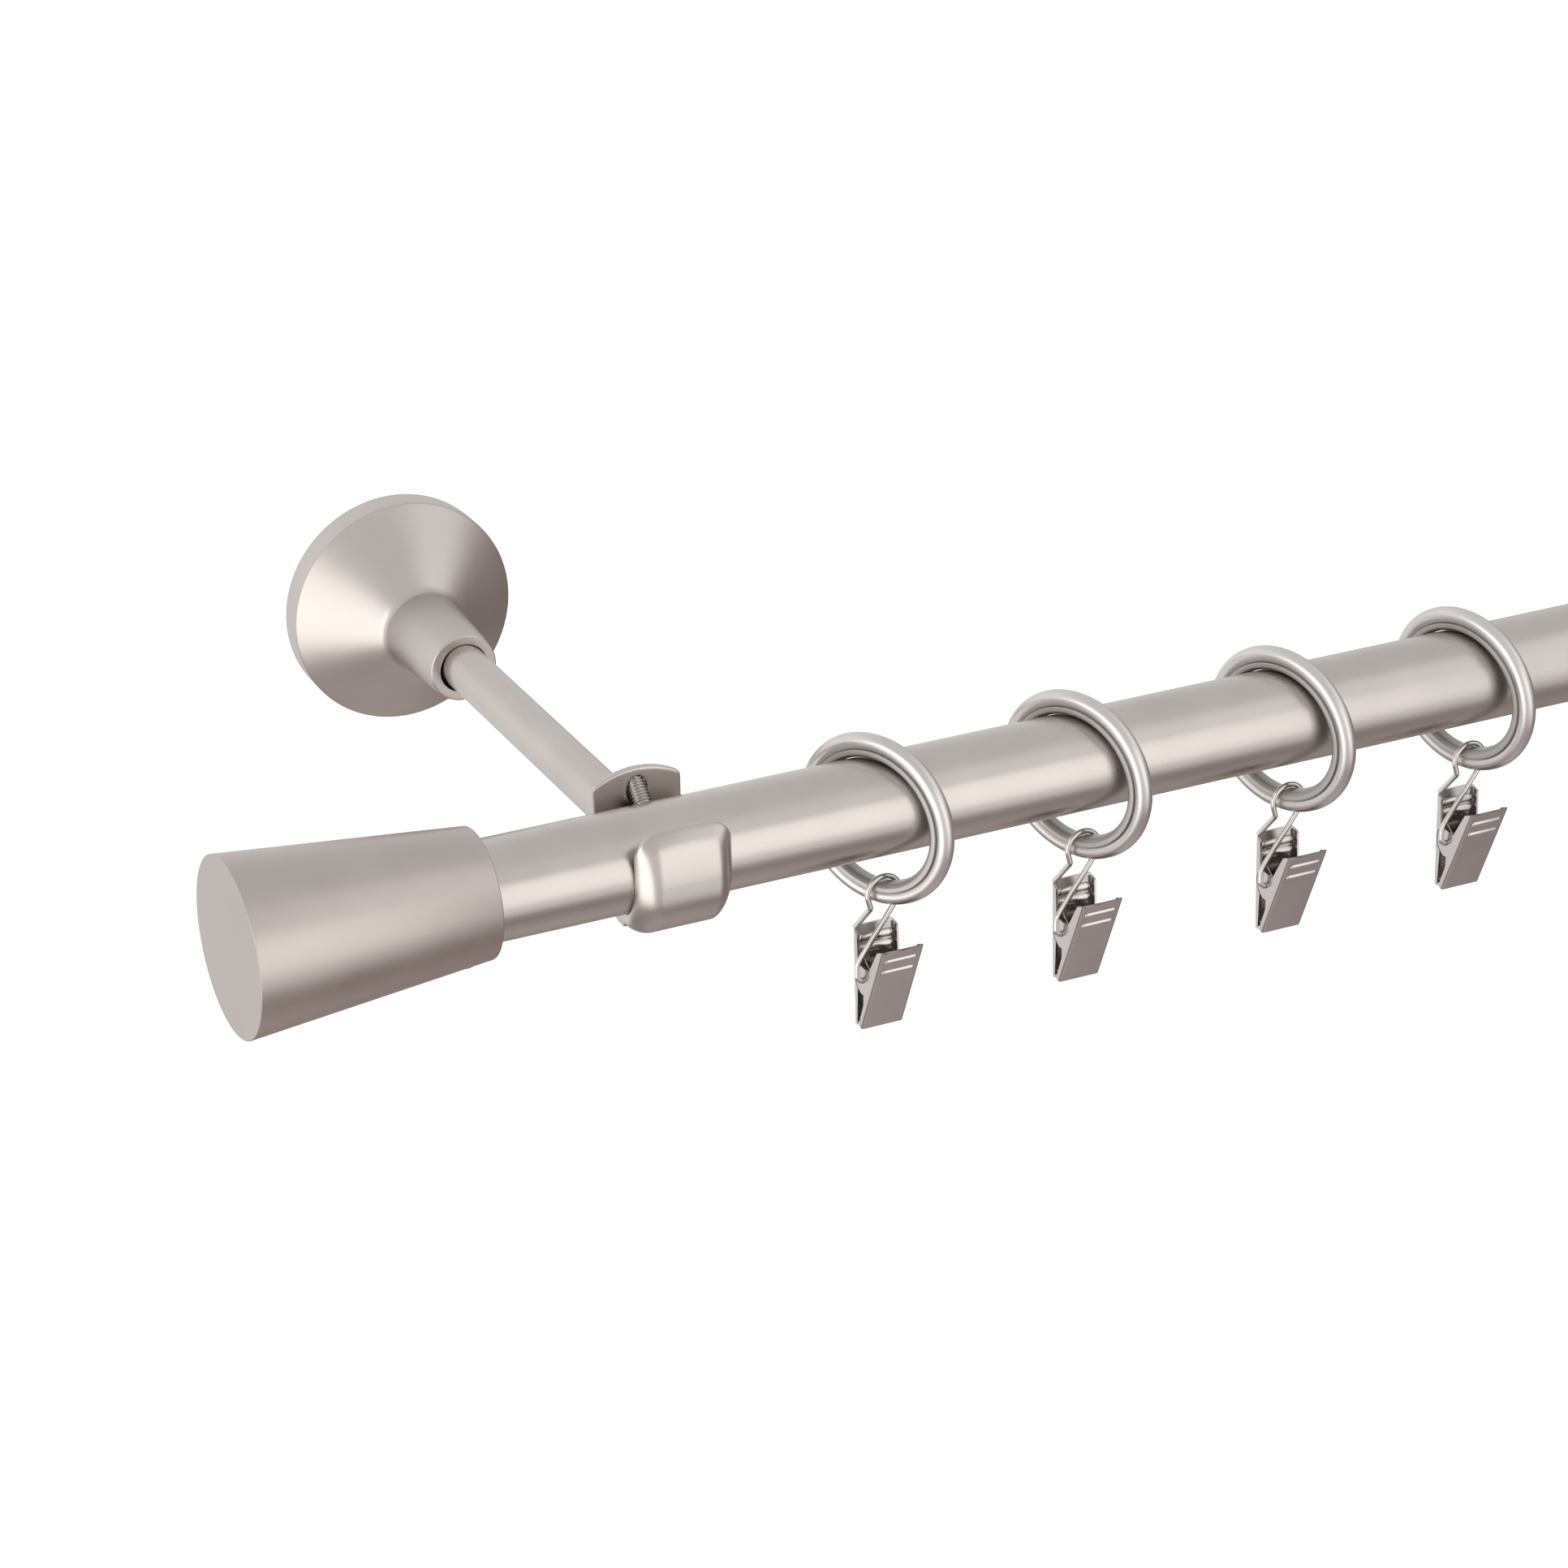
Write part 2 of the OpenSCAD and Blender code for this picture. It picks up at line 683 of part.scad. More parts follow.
// Shape in the plane across the pin, given as points of depth and height, made sheet-thick from x
module cheek(x) {
    translate([x, 0, 0]) rotate([90, 0, 90]) linear_extrude(height = sheet_t) children();
}

module both_cheeks(x) {
    cheek(x) children();
    cheek(clip_w - sheet_t - x) children();
}

// Panel of a jaw in its own plane, with upper corners of radius r
module jaw_panel(up, down, r) {
    translate([0, sheet_t, 0]) rotate([90, 0, 0]) linear_extrude(height = sheet_t) {
        translate([0, -down]) square([clip_w, up + down - r]);
        translate([r, up - 2 * r]) square([clip_w - 2 * r, 2 * r]);
        for (x = [r, clip_w - r])
            translate([x, up - r]) circle(r = r, $fn = 32);
    }
}

// Two ribs pressed into a panel, raised from its face at y and hollow behind: from is their height
module jaw_ribs(y, from, step, w, h, inset) {
    r = (w * w / 4 + h * h) / (2 * h);
    for (z = [from, from - step]) intersection() {
        translate([inset, y - h + r, z]) along_x(clip_w - 2 * inset, r, 48);
        translate([0, y - h, z - w]) cube([clip_w, h + sheet_t / 2, 2 * w]);
    }
}

module rib_hollows(y, from, step, w, h, inset) {
    r = (w * w / 4 + h * h) / (2 * h);
    for (z = [from, from - step])
        translate([inset + sheet_t, y - h + r, z]) along_x(clip_w - 2 * inset - 2 * sheet_t, r - sheet_t, 32);
}

// Toothed lip along the tip of a jaw, from the panel inwards
module jaw_lip(down, in) {
    step = (clip_w - 2 * sheet_t) / teeth;
    depth = flange_tip - tooth_h;
    translate([sheet_t - eps, 0, -down]) linear_extrude(height = sheet_t) scale([1, in])
        polygon(concat(
            [[0, 0], [0, depth]],
            [for (i = [0 : teeth - 1]) each [[(i + 0.5) * step, flange_tip], [(i + 1) * step, depth]]],
            [[clip_w - 2 * sheet_t + 2 * eps, 0]]
        ));
}

// Flange of a jaw as depth and height, inwards from the panel and up to its rounded corner
module flange(up, down, r, in) {
    polygon([[0, -down], [0, up - r], [in * flange_top, up - r], [in * flange_tip, -down]]);
}

module rear_jaw(k) {
    up = rear_up / cos(rear_lean);
    down = rear_down / cos(rear_lean);
    ribs = up - rear_rib_top;
    color("darkgray") clip_frame(k) difference() {
        union() {
            translate([0, rear_off, 0]) rotate([-rear_lean, 0, 0]) {
                translate([0, -sheet_t, 0]) jaw_panel(up, down, rear_corner_r);
                difference() {
                    both_cheeks(0) flange(up, down, rear_corner_r, -1);
                    translate([-cut_over, -sheet_t - clip_w, -notch_h / 2])
                        cube([clip_w + 2 * cut_over, clip_w, notch_h]);
                }
                jaw_lip(down, -1);
                jaw_ribs(-sheet_t, ribs, rear_rib_step, rear_rib_w, rear_rib_h, rear_rib_inset);
            }
            both_cheeks(rear_ear_x) {
                circle(r = rear_ear_r, $fn = 48);
                translate([0, -rear_ear_r]) square([rear_off - sheet_t / 2, 2 * rear_ear_r]);
            }
        }
        translate([-cut_over, 0, 0]) along_x(clip_w + 2 * cut_over, pin_hole_r, 32);
        translate([0, rear_off, 0]) rotate([-rear_lean, 0, 0])
            rib_hollows(-sheet_t, ribs, rear_rib_step, rear_rib_w, rear_rib_h, rear_rib_inset);
    }
}

// Depth of the front jaw's face at a height above the pin
function front_y(z) = -front_off - z * tan(front_lean);

module front_jaw(k) {
    up = front_up / cos(front_lean);
    down = front_down / cos(front_lean);
    ribs = up - front_rib_top;
    h = ear_h / 2;
    color("darkgray") clip_frame(k) difference() {
        union() {
            translate([0, -front_off, 0]) rotate([front_lean, 0, 0]) {
                jaw_panel(up, down, front_corner_r);
                both_cheeks(0) flange(up, down, front_corner_r, 1);
                jaw_lip(down, 1);
                jaw_ribs(0, ribs, front_rib_step, front_rib_w, front_rib_h, front_rib_inset);
            }
            both_cheeks(0) {
                circle(r = h, $fn = 64);
                polygon([[0, -h], [0, h], [front_y(h) + sheet_t, h], [front_y(-h) + sheet_t, -h]]);
            }
        }
        translate([-cut_over, 0, 0]) along_x(clip_w + 2 * cut_over, pin_hole_r, 32);
        translate([0, -front_off, 0]) rotate([front_lean, 0, 0])
            rib_hollows(0, ribs, front_rib_step, front_rib_w, front_rib_h, front_rib_inset);
    }
}

// Spring on the pin: a leg to each jaw and curls between them, as one swept tube
rear_leg = [rear_off - sheet_t + rear_leg_z * tan(rear_lean) - spring_r - fit_gap, rear_leg_z];
front_leg = [front_y(front_leg_z) + (sheet_t + spring_r) / cos(front_lean) + front_leg_gap, front_leg_z];
coil_a0 = atan2(rear_leg[1], rear_leg[0]) + acos(coil_r / norm(rear_leg));
coil_a1 = atan2(front_leg[1], front_leg[0]) - acos(coil_r / norm(front_leg)) + 360 * spring_curls;
coil_steps = round((coil_a1 - coil_a0) / 45);
function coil_point(i) =
    let (a = coil_a0 + (coil_a1 - coil_a0) * i / coil_steps)
    [spring_x + spring_pitch * (a - coil_a0) / 360, coil_r * cos(a), coil_r * sin(a)];
spring_end = spring_x + spring_pitch * (coil_a1 - coil_a0) / 360;
spring_path = concat(
    [[spring_x, rear_leg[0], rear_leg[1]]],
    [for (i = [0 : coil_steps]) coil_point(i)],
    [[spring_end, front_leg[0], front_leg[1]]]
);
spring_n = len(spring_path);

function path_dir(i) = unit(spring_path[min(i + 1, spring_n - 1)] - spring_path[max(i - 1, 0)]);
function spring_ring(i) =
    let (t = path_dir(i), u = unit(cross(t, [1, 0, 0])), v = cross(t, u))
    [for (k = [0 : spring_sides - 1])
        spring_path[i] + spring_r * (cos(360 * k / spring_sides) * u + sin(360 * k / spring_sides) * v)];

spring_space = min([
    for (i = [0 : spring_n - 1]) for (j = [0 : spring_n - 1])
        if (j > i + 5) norm(spring_path[i] - spring_path[j]) - spring_wire_d
]);
echo(str("spring least gap ", spring_space));

module spring(k) {
    points = [for (i = [0 : spring_n - 1]) each spring_ring(i)];
    walls = [
        for (i = [0 : spring_n - 2]) for (k = [0 : spring_sides - 1])
            let (a = i * spring_sides + k, b = i * spring_sides + (k + 1) % spring_sides)
            each [[a, b, a + spring_sides], [b, b + spring_sides, a + spring_sides]]
    ];
    last = (spring_n - 1) * spring_sides;
    ends = concat(
        [for (k = [1 : spring_sides - 2]) [0, k + 1, k]],
        [for (k = [1 : spring_sides - 2]) [last, last + k, last + k + 1]]
    );
    color("black") clip_frame(k) polyhedron(points = points, faces = concat(walls, ends));
}

// Puts a ring's pieces on the rod: the first ones count from the left bracket, the others from the right
module hanger(i) {
    if (i < left_count)
        rod_frame() translate([left_rings[i], 0, 0]) children();
    else
        right_side() rod_frame() translate([right_rings[i - left_count], 0, 0]) children();
}

// Which of the left rings a ring is like
function like(i) = i < left_count ? i : i - left_count;

rod_tube();
finial();  // left_finial
right_side() finial();  // right_finial
both_sides() finial_screw();  // finial_screws
wall_plate();  // left_wall_plate
right_side() wall_plate();  // right_wall_plate
bracket_arm();  // left_arm
right_side() bracket_arm();  // right_arm
both_sides() arm_screw();  // arm_screws
wall_cup();  // left_cup
right_side() wall_cup();  // right_cup
cradle();  // left_cradle
right_side() cradle();  // right_cradle
clamp_screw();  // left_clamp_screw
right_side() clamp_screw();  // right_clamp_screw
for (i = [0 : left_count + len(right_rings) - 1]) {
    hanger(i) hoop(like(i));
    hanger(i) liner(like(i));
    hanger(i) hook(like(i));
    hanger(i) rear_jaw(like(i));
    hanger(i) front_jaw(like(i));
    hanger(i) spring(like(i));
}
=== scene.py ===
"""Looks of the curtain rod: satin nickel, formed edges, threads and springs, in a pale studio."""
import json
import math

import bmesh
import bpy
from mathutils import Matrix, Vector


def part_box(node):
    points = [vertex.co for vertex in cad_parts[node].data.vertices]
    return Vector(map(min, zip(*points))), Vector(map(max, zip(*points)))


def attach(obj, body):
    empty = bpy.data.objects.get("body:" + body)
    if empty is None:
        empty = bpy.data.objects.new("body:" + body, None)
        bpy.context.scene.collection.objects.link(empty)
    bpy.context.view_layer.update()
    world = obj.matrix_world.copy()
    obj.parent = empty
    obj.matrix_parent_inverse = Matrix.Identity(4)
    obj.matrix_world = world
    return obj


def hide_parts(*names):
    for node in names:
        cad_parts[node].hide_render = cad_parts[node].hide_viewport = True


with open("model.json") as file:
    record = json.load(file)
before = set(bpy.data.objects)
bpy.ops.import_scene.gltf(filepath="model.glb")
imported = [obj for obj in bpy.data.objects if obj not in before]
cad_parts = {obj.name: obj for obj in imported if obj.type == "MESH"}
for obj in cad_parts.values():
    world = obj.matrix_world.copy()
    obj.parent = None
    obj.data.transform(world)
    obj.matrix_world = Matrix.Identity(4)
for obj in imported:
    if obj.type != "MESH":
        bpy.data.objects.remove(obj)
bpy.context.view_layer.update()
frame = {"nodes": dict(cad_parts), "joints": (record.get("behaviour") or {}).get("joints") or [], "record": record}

MM = 0.001
CREASE = 35
SIDES = ("left", "right")
HANGERS = range(1, 8)
FIRST_RIGHT_HANGER = 5
body_of = {node: body for body, nodes in frame["record"]["behaviour"]["bodies"].items() for node in nodes}
joints = {joint["name"]: joint for joint in frame["joints"]}

# Sizes, in millimetres and degrees. Most are those of the solids. The cup's rim, the foot of its neck, the
# cradle's lip and the liner's edges follow the photo more closely.

# Rod and finials, with the locking screw's seat
ROD_D = 25.0
ROD_WALL = 1.0
ROD_EDGE = 0.15
ROD_PLAY = 0.05
TURNED_STEPS = 160
FINIAL_LEN = 61.6
FINIAL_BIG_D = 44.0
FINIAL_SMALL_D = 32.0
FINIAL_SOCKET = 30.0
FINIAL_EDGE = 0.3
FINIAL_TAPER_AT_EDGES = (0.05, 0.1)
FINIAL_END_T = 2
FINIAL_FLOOR_T = 2
FINIAL_SIDE_T = 2.4
LOCK_INSET = 4.8
LOCK_SEAT = 16.1
LOCK_HEAD_D = 7.6
LOCK_D = 4.0
LOCK_SEAT_PLAY = 0.1
LOCK_PLAY = 0.05

# Cup and arm: pairs go across the axis and along it, from the corner that they round off
CUP_D = 61.2
CUP_LEN = 51.0
CUP_RIM = 7.6
CUP_ROUND = 1.0
CUP_WALL = 1.4
CUP_BACK_EDGE = (0.6, 0.9)
CUP_INNER_ROUND = 0.6
NECK_FOOT = 22.5
NECK_FOOT_D = 21.8
NECK_FILLET_START = (1.4, -1.15)
NECK_FILLET_END = (-0.1, 1.6)
NECK_INNER_CORNER = (1.2, -2.4)
NECK_END_D = 18.2
NECK_END_TAPER = 0.05
NECK_END_EDGE = (0.5, 0.6)
NECK_BORE_D = 13.0
NECK_BORE_EDGE = 0.25
ARM_D = 12.0
ARM_EDGE = 0.4
SPIGOT_D = 8.0
SPIGOT_LEN = 11.0

# Clamp screw: its chamfer's pair is how much wider and how deep it is
CLAMP_D = 5.0
CLAMP_LEN = 8.5
CLAMP_ANGLE = 48.0
CLAMP_GAP = 0.02
THREAD_PITCH = 0.8
THREAD_DEPTH = 0.42
THREAD_STEEPNESS = 1.5
THREAD_ROOT_FLAT = 0.2
THREAD_FADE_TURNS = 0.9
TIP_CHAMFER = 0.1
SOCKET_DEPTH = 2.8
SOCKET_CHAMFER = (0.25, 0.2)

# Cradle: pairs, and where the band ends, are angles below the height of the rod's axis
BAND_T = 4.0
BAND_W = 21.6
BAND_ROUND = 1.3
BAND_END = 100
LIP_T = 5.65
LIP_MAX_T = 6.3
LIP_THICKENS_TO = 24
LIP_THINS = (34, 92)
LIP_NARROWS = (35, 88)
LIP_W = 25.0
LIP_TOP = 12.7
LIP_ROUND = 5.0
LIP_EDGE = 0.6
LIP_ARCH = 1.2
LIP_TAPER_START = 2
LIP_TAPER = 80
LIP_CUSHION = 1.5
CAST_FRONT = -2
CAST_GRID = 0.25
CAST_SMOOTHING = 0.5
CAST_SMOOTHING_STEPS = 12

# Ring: the hoop with its butt joint, and the liner
HOOP_BAR_D = 4.5
HOOP_R = 20.25
HOOP_JOINT_W = 0.25
HOOP_JOINT_DEPTH = 0.05
HOOP_JOINT_REACH = 0.02
LINER_R = 16.45
LINER_W = 4.8
LINER_ROUND = 1.9
LINER_CROWN_TO = 130
LINER_CORNER = 1.05
LINER_RIM = 1.4
LINER_EDGE = 1.5
LINER_LIP_ROUND = 0.12
LINER_SEAT = 0.03
RING_TURN = 27.8
RING_TURN_STEP = 3.2
RING_LEAN = 1.0
RING_LEAN_STEP = 1.0

# Hook: pin, leg, loop, kink and tail
WIRE_D = 1.44
LOOP_R = 4.42
HOOK_LEN = 23.0
HOOK_GAP = 1.52
PIN_BEND = 1.5
PIN_OUT = 0.3
LEG_BEND = 4.0
LEG_START = 3.4
KINK_TURN = 15.0
KINK_LEN = 2.2
KINK_BEND = 1.2
TAIL_OUT = 0.1
TAIL_UP = 0.2

# Jaws: heights count from the pin, and a jaw's lean from the vertical
CLIP_W = 11.7
SHEET_T = 0.6
SHEET_BEVEL = 0.09
REAR_OFF = 5.05
REAR_LEAN = 1.9
REAR_UP = 12.8
REAR_DOWN = 13.9
FRONT_OFF = 5.4
FRONT_LEAN = 23.7
FRONT_UP = 11.8
FRONT_DOWN = 14.2
EAR_H = 8.0
EAR_R = 2.6
EAR_PLAY = 0.1
EAR_CLEARANCE = 0.3
FOLD_R = 0.75
REAR_CORNER = 1.6
FRONT_CORNER = 0.5
FLANGE_TOP = 2.2
FLANGE_TIP = 1.6
FLANGE_PLAY = (0.1, 0.2)
FRONT_CORNER_UP = 0.2
REAR_CORNER_UP = 0.6
FRONT_SHEET = 13
REAR_SHEET = 9
FRONT_SHOULDER = (-3.1, 0.6)
FRONT_SHOULDER_DROP = 1.2
FRONT_EAR_ARC = 65
FRONT_EAR_FOOT = 1.2
FRONT_NOTCH = (-0.4, 2.7)
REAR_EAR_ARC = 52
FRONT_RIBS = {"width": 1.6, "height": 0.45, "top": 3.4, "step": 4.0, "inset": 1.4}
REAR_RIBS = {"width": 2.5, "height": 0.7, "top": 3.75, "step": 2.85, "inset": 0.9}
RIB_END_STEP = 15
HOLLOW_DEPTH = 1.0
TEETH = 5
TOOTH = 0.35
TOOTHED_LIP_DEPTH = 1.25
TOOTHED_LIP_LAP = 0.1
TOOTHED_LIP_LIFT = 0.02
PIN_HOLE_D = 1.6

# Spring: curls round the pin and a leg on each jaw
SPRING_WIRE_D = 0.5
SPRING_PITCH = 1.0
SPRING_CURLS = 4
SPRING_X = 2.2
SPRING_PLAY = 0.35
SPRING_R = WIRE_D / 2 + SPRING_PLAY + SPRING_WIRE_D / 2
SPRING_SPLIT = 32.0
CURL_STEP = 15
REAR_LEG_Z = 4.6
REAR_LEG_GAP = 0.05
FRONT_LEG_Z = 8.0
FRONT_LEG_GAP = 0.12

# How far a shape that cuts or bounds another one goes past it
SPARE = 1


# Makers of shapes: each works in millimetres and gives vertices and faces

def arc(centre, radius, start, end, steps):
    """Points of an arc in a plane, with its angles in degrees."""
    angles = [math.radians(start + (end - start) * i / steps) for i in range(steps + 1)]
    return [(centre[0] + radius * math.cos(a), centre[1] + radius * math.sin(a)) for a in angles]


def soft_corner(a, corner, b, steps):
    """Points of a curve from a to b that rounds off the corner."""
    points = []
    for i in range(steps + 1):
        t = i / steps
        points.append(tuple(
            (1 - t) ** 2 * p + 2 * t * (1 - t) * q + t * t * r for p, q, r in zip(a, corner, b)
        ))
    return points


def lathe(profile, segments):
    """A closed profile of (radius, height) points turned round Z."""
    verts, faces = [], []
    n = len(profile)
    for i in range(segments):
        a = 2 * math.pi * i / segments
        verts += [(r * math.cos(a), r * math.sin(a), h) for r, h in profile]
    for i in range(segments):
        j = (i + 1) % segments
        for k in range(n):
            m = (k + 1) % n
            faces.append((i * n + k, j * n + k, j * n + m, i * n + m))
    return verts, faces


def tube(path, radius, sides=16):
    """A round tube along a path, with flat ends."""
    points = [Vector(p) for p in path]
    n = len(points)
    runs = [(b - a).normalized() for a, b in zip(points, points[1:])]
    tangents = [(runs[max(i - 1, 0)] + runs[min(i, n - 2)]).normalized() for i in range(n)]
    side = tangents[0].orthogonal().normalized()
    verts, faces = [], []
    for p, t in zip(points, tangents):
        side = (side - t * side.dot(t)).normalized()
        up = t.cross(side)
        for k in range(sides):
            a = 2 * math.pi * k / sides
            verts.append(p + radius * (math.cos(a) * side + math.sin(a) * up))
    for i in range(n - 1):
        for k in range(sides):
            m = (k + 1) % sides
            faces.append((i * sides + k, i * sides + m, (i + 1) * sides + m, (i + 1) * sides + k))
    faces.append(tuple(reversed(range(sides))))
    faces.append(tuple((n - 1) * sides + k for k in range(sides)))
    return verts, faces


def loft(rings):
    """Closed rings of equal count joined in a row, with a face on each end."""
    n = len(rings[0])
    verts = [v for ring in rings for v in ring]
    faces = [tuple(reversed(range(n)))]
    for i in range(len(rings) - 1):
        for k in range(n):
            m = (k + 1) % n
            faces.append((i * n + k, i * n + m, (i + 1) * n + m, (i + 1) * n + k))
    faces.append(tuple((len(rings) - 1) * n + k for k in range(n)))
    return verts, faces


def moved(shape, matrix):
    """A shape put elsewhere."""
    verts, faces = shape
    return [matrix @ Vector(v) for v in verts], faces


def mesh_of(name, shape):
    """A mesh of a shape, with merged points and faces that look outwards."""
    verts, faces = shape
    mesh = bpy.data.meshes.new(name)
    bm = bmesh.new()
    made = [bm.verts.new(Vector(v)) for v in verts]
    for face in faces:
        bm.faces.new([made[i] for i in face])
    bmesh.ops.remove_doubles(bm, verts=bm.verts, dist=1e-4)
    bmesh.ops.recalc_face_normals(bm, faces=bm.faces)
    bm.to_mesh(mesh)
    bm.free()
    return mesh


def combined(base, kept=(), joined=(), cut=()):
    """A mesh of the base shape, kept only inside some shapes, with others joined to it and cut from it."""
    target = bpy.data.objects.new("target", mesh_of("target", base))
    bpy.context.scene.collection.objects.link(target)
    helpers = []
    for operation, shapes in (("INTERSECT", kept), ("UNION", joined), ("DIFFERENCE", cut)):
        for shape in shapes:
            helper = bpy.data.objects.new("helper", mesh_of("helper", shape))
            bpy.context.scene.collection.objects.link(helper)
            helpers.append(helper)
            modifier = target.modifiers.new(operation, "BOOLEAN")
            modifier.operation = operation
            modifier.solver = "EXACT"
            modifier.object = helper
    bpy.context.view_layer.update()
    graph = bpy.context.evaluated_depsgraph_get()
    result = bpy.data.meshes.new_from_object(target.evaluated_get(graph))
    for obj in [target, *helpers]:
        bpy.data.objects.remove(obj)
    return result


def piece(name, shape, place, material, node, replaced=True, body=None, bevel=0.0, crease=CREASE):
    """A new object from a shape or mesh in millimetres, put in place, with its node's body."""
    mesh = shape.copy() if isinstance(shape, bpy.types.Mesh) else mesh_of(name, shape)
    mesh.name = name
    mesh.transform(Matrix.Scale(MM, 4) @ place)
    if place.determinant() < 0:
        mesh.flip_normals()
    mesh.materials.clear()
    mesh.materials.append(material)
    obj = bpy.data.objects.new(name, mesh)
    bpy.context.scene.collection.objects.link(obj)
    if bevel:
        edge = obj.modifiers.new("edges", "BEVEL")
        edge.width = bevel * MM
        edge.segments = 2
        edge.limit_method = "ANGLE"
        edge.angle_limit = math.radians(crease)
        edge.harden_normals = True
    mesh.shade_smooth()
    mesh.set_sharp_from_angle(angle=math.radians(crease))
    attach(obj, body or body_of[node])
    if replaced:
        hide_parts(node)
    return obj


# Places, in millimetres, worked out from the frame

def middle(node):
    low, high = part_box(node)
    return (low + high) / 2 / MM


def turn(angle, axis):
    return Matrix.Rotation(math.radians(angle), 4, axis)


AXIS_TO_X = turn(90, "Y")
AXIS_TO_ROOM = turn(90, "X")
rod_axis = middle("rod_tube")
span = middle("right_wall_plate").x - middle("left_wall_plate").x
MIRROR = Matrix.Scale(-1, 4, (1, 0, 0))
wall_side = {"left": Matrix.Identity(4), "right": Matrix.Translation((span, 0, 0)) @ MIRROR}
rod_place = Matrix.Translation((0, rod_axis.y, rod_axis.z))
rod_start, rod_end = (corner.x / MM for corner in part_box("rod_tube"))
finial_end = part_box("left_finial")[0].x / MM


def hanger_side(hanger):
    """Rings and clips at the right are mirror images of those at the left."""
    return MIRROR if hanger >= FIRST_RIGHT_HANGER else Matrix.Identity(4)


# Materials

def metal(name, colour, roughness, grain=0.0, grain_size=0.35, stretch=(1, 1, 1), tint=0.04, wear=0.05):
    """Plated metal: a fine grain in its relief, cloudy changes of polish and a faint change of tone."""
    m = bpy.data.materials.new(name)
    m.use_nodes = True
    nodes, links = m.node_tree.nodes, m.node_tree.links
    shader = nodes["Principled BSDF"]
    shader.inputs["Metallic"].default_value = 1.0
    coords = nodes.new("ShaderNodeTexCoord")
    scale = nodes.new("ShaderNodeMapping")
    scale.inputs["Scale"].default_value = stretch
    links.new(coords.outputs["Object"], scale.inputs["Vector"])

    fine = nodes.new("ShaderNodeTexNoise")
    fine.inputs["Scale"].default_value = 1 / (grain_size * MM)
    fine.inputs["Detail"].default_value = 3
    links.new(scale.outputs["Vector"], fine.inputs["Vector"])
    bump = nodes.new("ShaderNodeBump")
    bump.inputs["Strength"].default_value = 1.0
    bump.inputs["Distance"].default_value = grain * MM
    links.new(fine.outputs["Fac"], bump.inputs["Height"])
    links.new(bump.outputs["Normal"], shader.inputs["Normal"])

    cloud = nodes.new("ShaderNodeTexNoise")
    cloud.inputs["Scale"].default_value = 60
    cloud.inputs["Detail"].default_value = 4
    links.new(coords.outputs["Object"], cloud.inputs["Vector"])
    polish = nodes.new("ShaderNodeMapRange")
    polish.inputs["To Min"].default_value = roughness - wear
    polish.inputs["To Max"].default_value = roughness + wear
    links.new(cloud.outputs["Fac"], polish.inputs["Value"])
    links.new(polish.outputs["Result"], shader.inputs["Roughness"])

    tone = nodes.new("ShaderNodeValToRGB")
    tone.color_ramp.elements[0].position = 0.3
    tone.color_ramp.elements[1].position = 0.7
    tone.color_ramp.elements[0].color = (*[c * (1 - tint) for c in colour], 1)
    tone.color_ramp.elements[1].color = (*[min(1, c * (1 + tint)) for c in colour], 1)
    links.new(cloud.outputs["Fac"], tone.inputs["Fac"])
    links.new(tone.outputs["Color"], shader.inputs["Base Color"])
    return m


NICKEL = (0.53, 0.486, 0.462)
rod_nickel = metal("rod_nickel", NICKEL, roughness=0.27, grain=0.0025, stretch=(0.15, 1, 1), wear=0.03)
turned_nickel = metal("turned_nickel", (0.48, 0.43, 0.405), roughness=0.35, grain=0.004, stretch=(1, 0, 0))
cast_nickel = metal("cast_nickel", NICKEL, roughness=0.29, grain=0.006, grain_size=0.25)
cup_nickel = metal("cup_nickel", NICKEL, roughness=0.36, grain=0.005, grain_size=0.25)
silver = metal("silver", (0.62, 0.59, 0.58), roughness=0.33, grain=0.006, grain_size=0.2)
bright = metal("bright_nickel", (0.60, 0.57, 0.54), roughness=0.16, grain=0.002)
sheet_nickel = metal("sheet_nickel", (0.55, 0.515, 0.505), roughness=0.18, grain=0.004)
steel = metal("steel", (0.50, 0.48, 0.46), roughness=0.22, grain=0.004)
zinc = metal("zinc", (0.50, 0.49, 0.48), roughness=0.35, grain=0.01, grain_size=0.6)
liner_grey = metal("liner_grey", (0.46, 0.445, 0.435), roughness=0.45, grain=0.006, grain_size=0.2)

carried_over = {
    "left_wall_plate": zinc, "right_wall_plate": zinc,
    "finial_screws": steel, "arm_screws": steel,
}
for name, finish in carried_over.items():
    mesh = frame["nodes"][name].data
    mesh.materials.clear()
    mesh.materials.append(finish)
    mesh.shade_smooth()
    mesh.set_sharp_from_angle(angle=math.radians(CREASE))


# Rod tube and finials

def rod_shape():
    r, edge = ROD_D / 2, ROD_EDGE
    inner, length = r - ROD_WALL, rod_end - rod_start
    profile = [(inner, 0), (r - edge, 0), (r, edge)]
    profile += [(r, length - edge), (r - edge, length), (inner, length)]
    return lathe(profile, TURNED_STEPS)


piece(
    "rod", rod_shape(), rod_place @ Matrix.Translation((rod_start, 0, 0)) @ AXIS_TO_X,
    rod_nickel, "rod_tube",
)


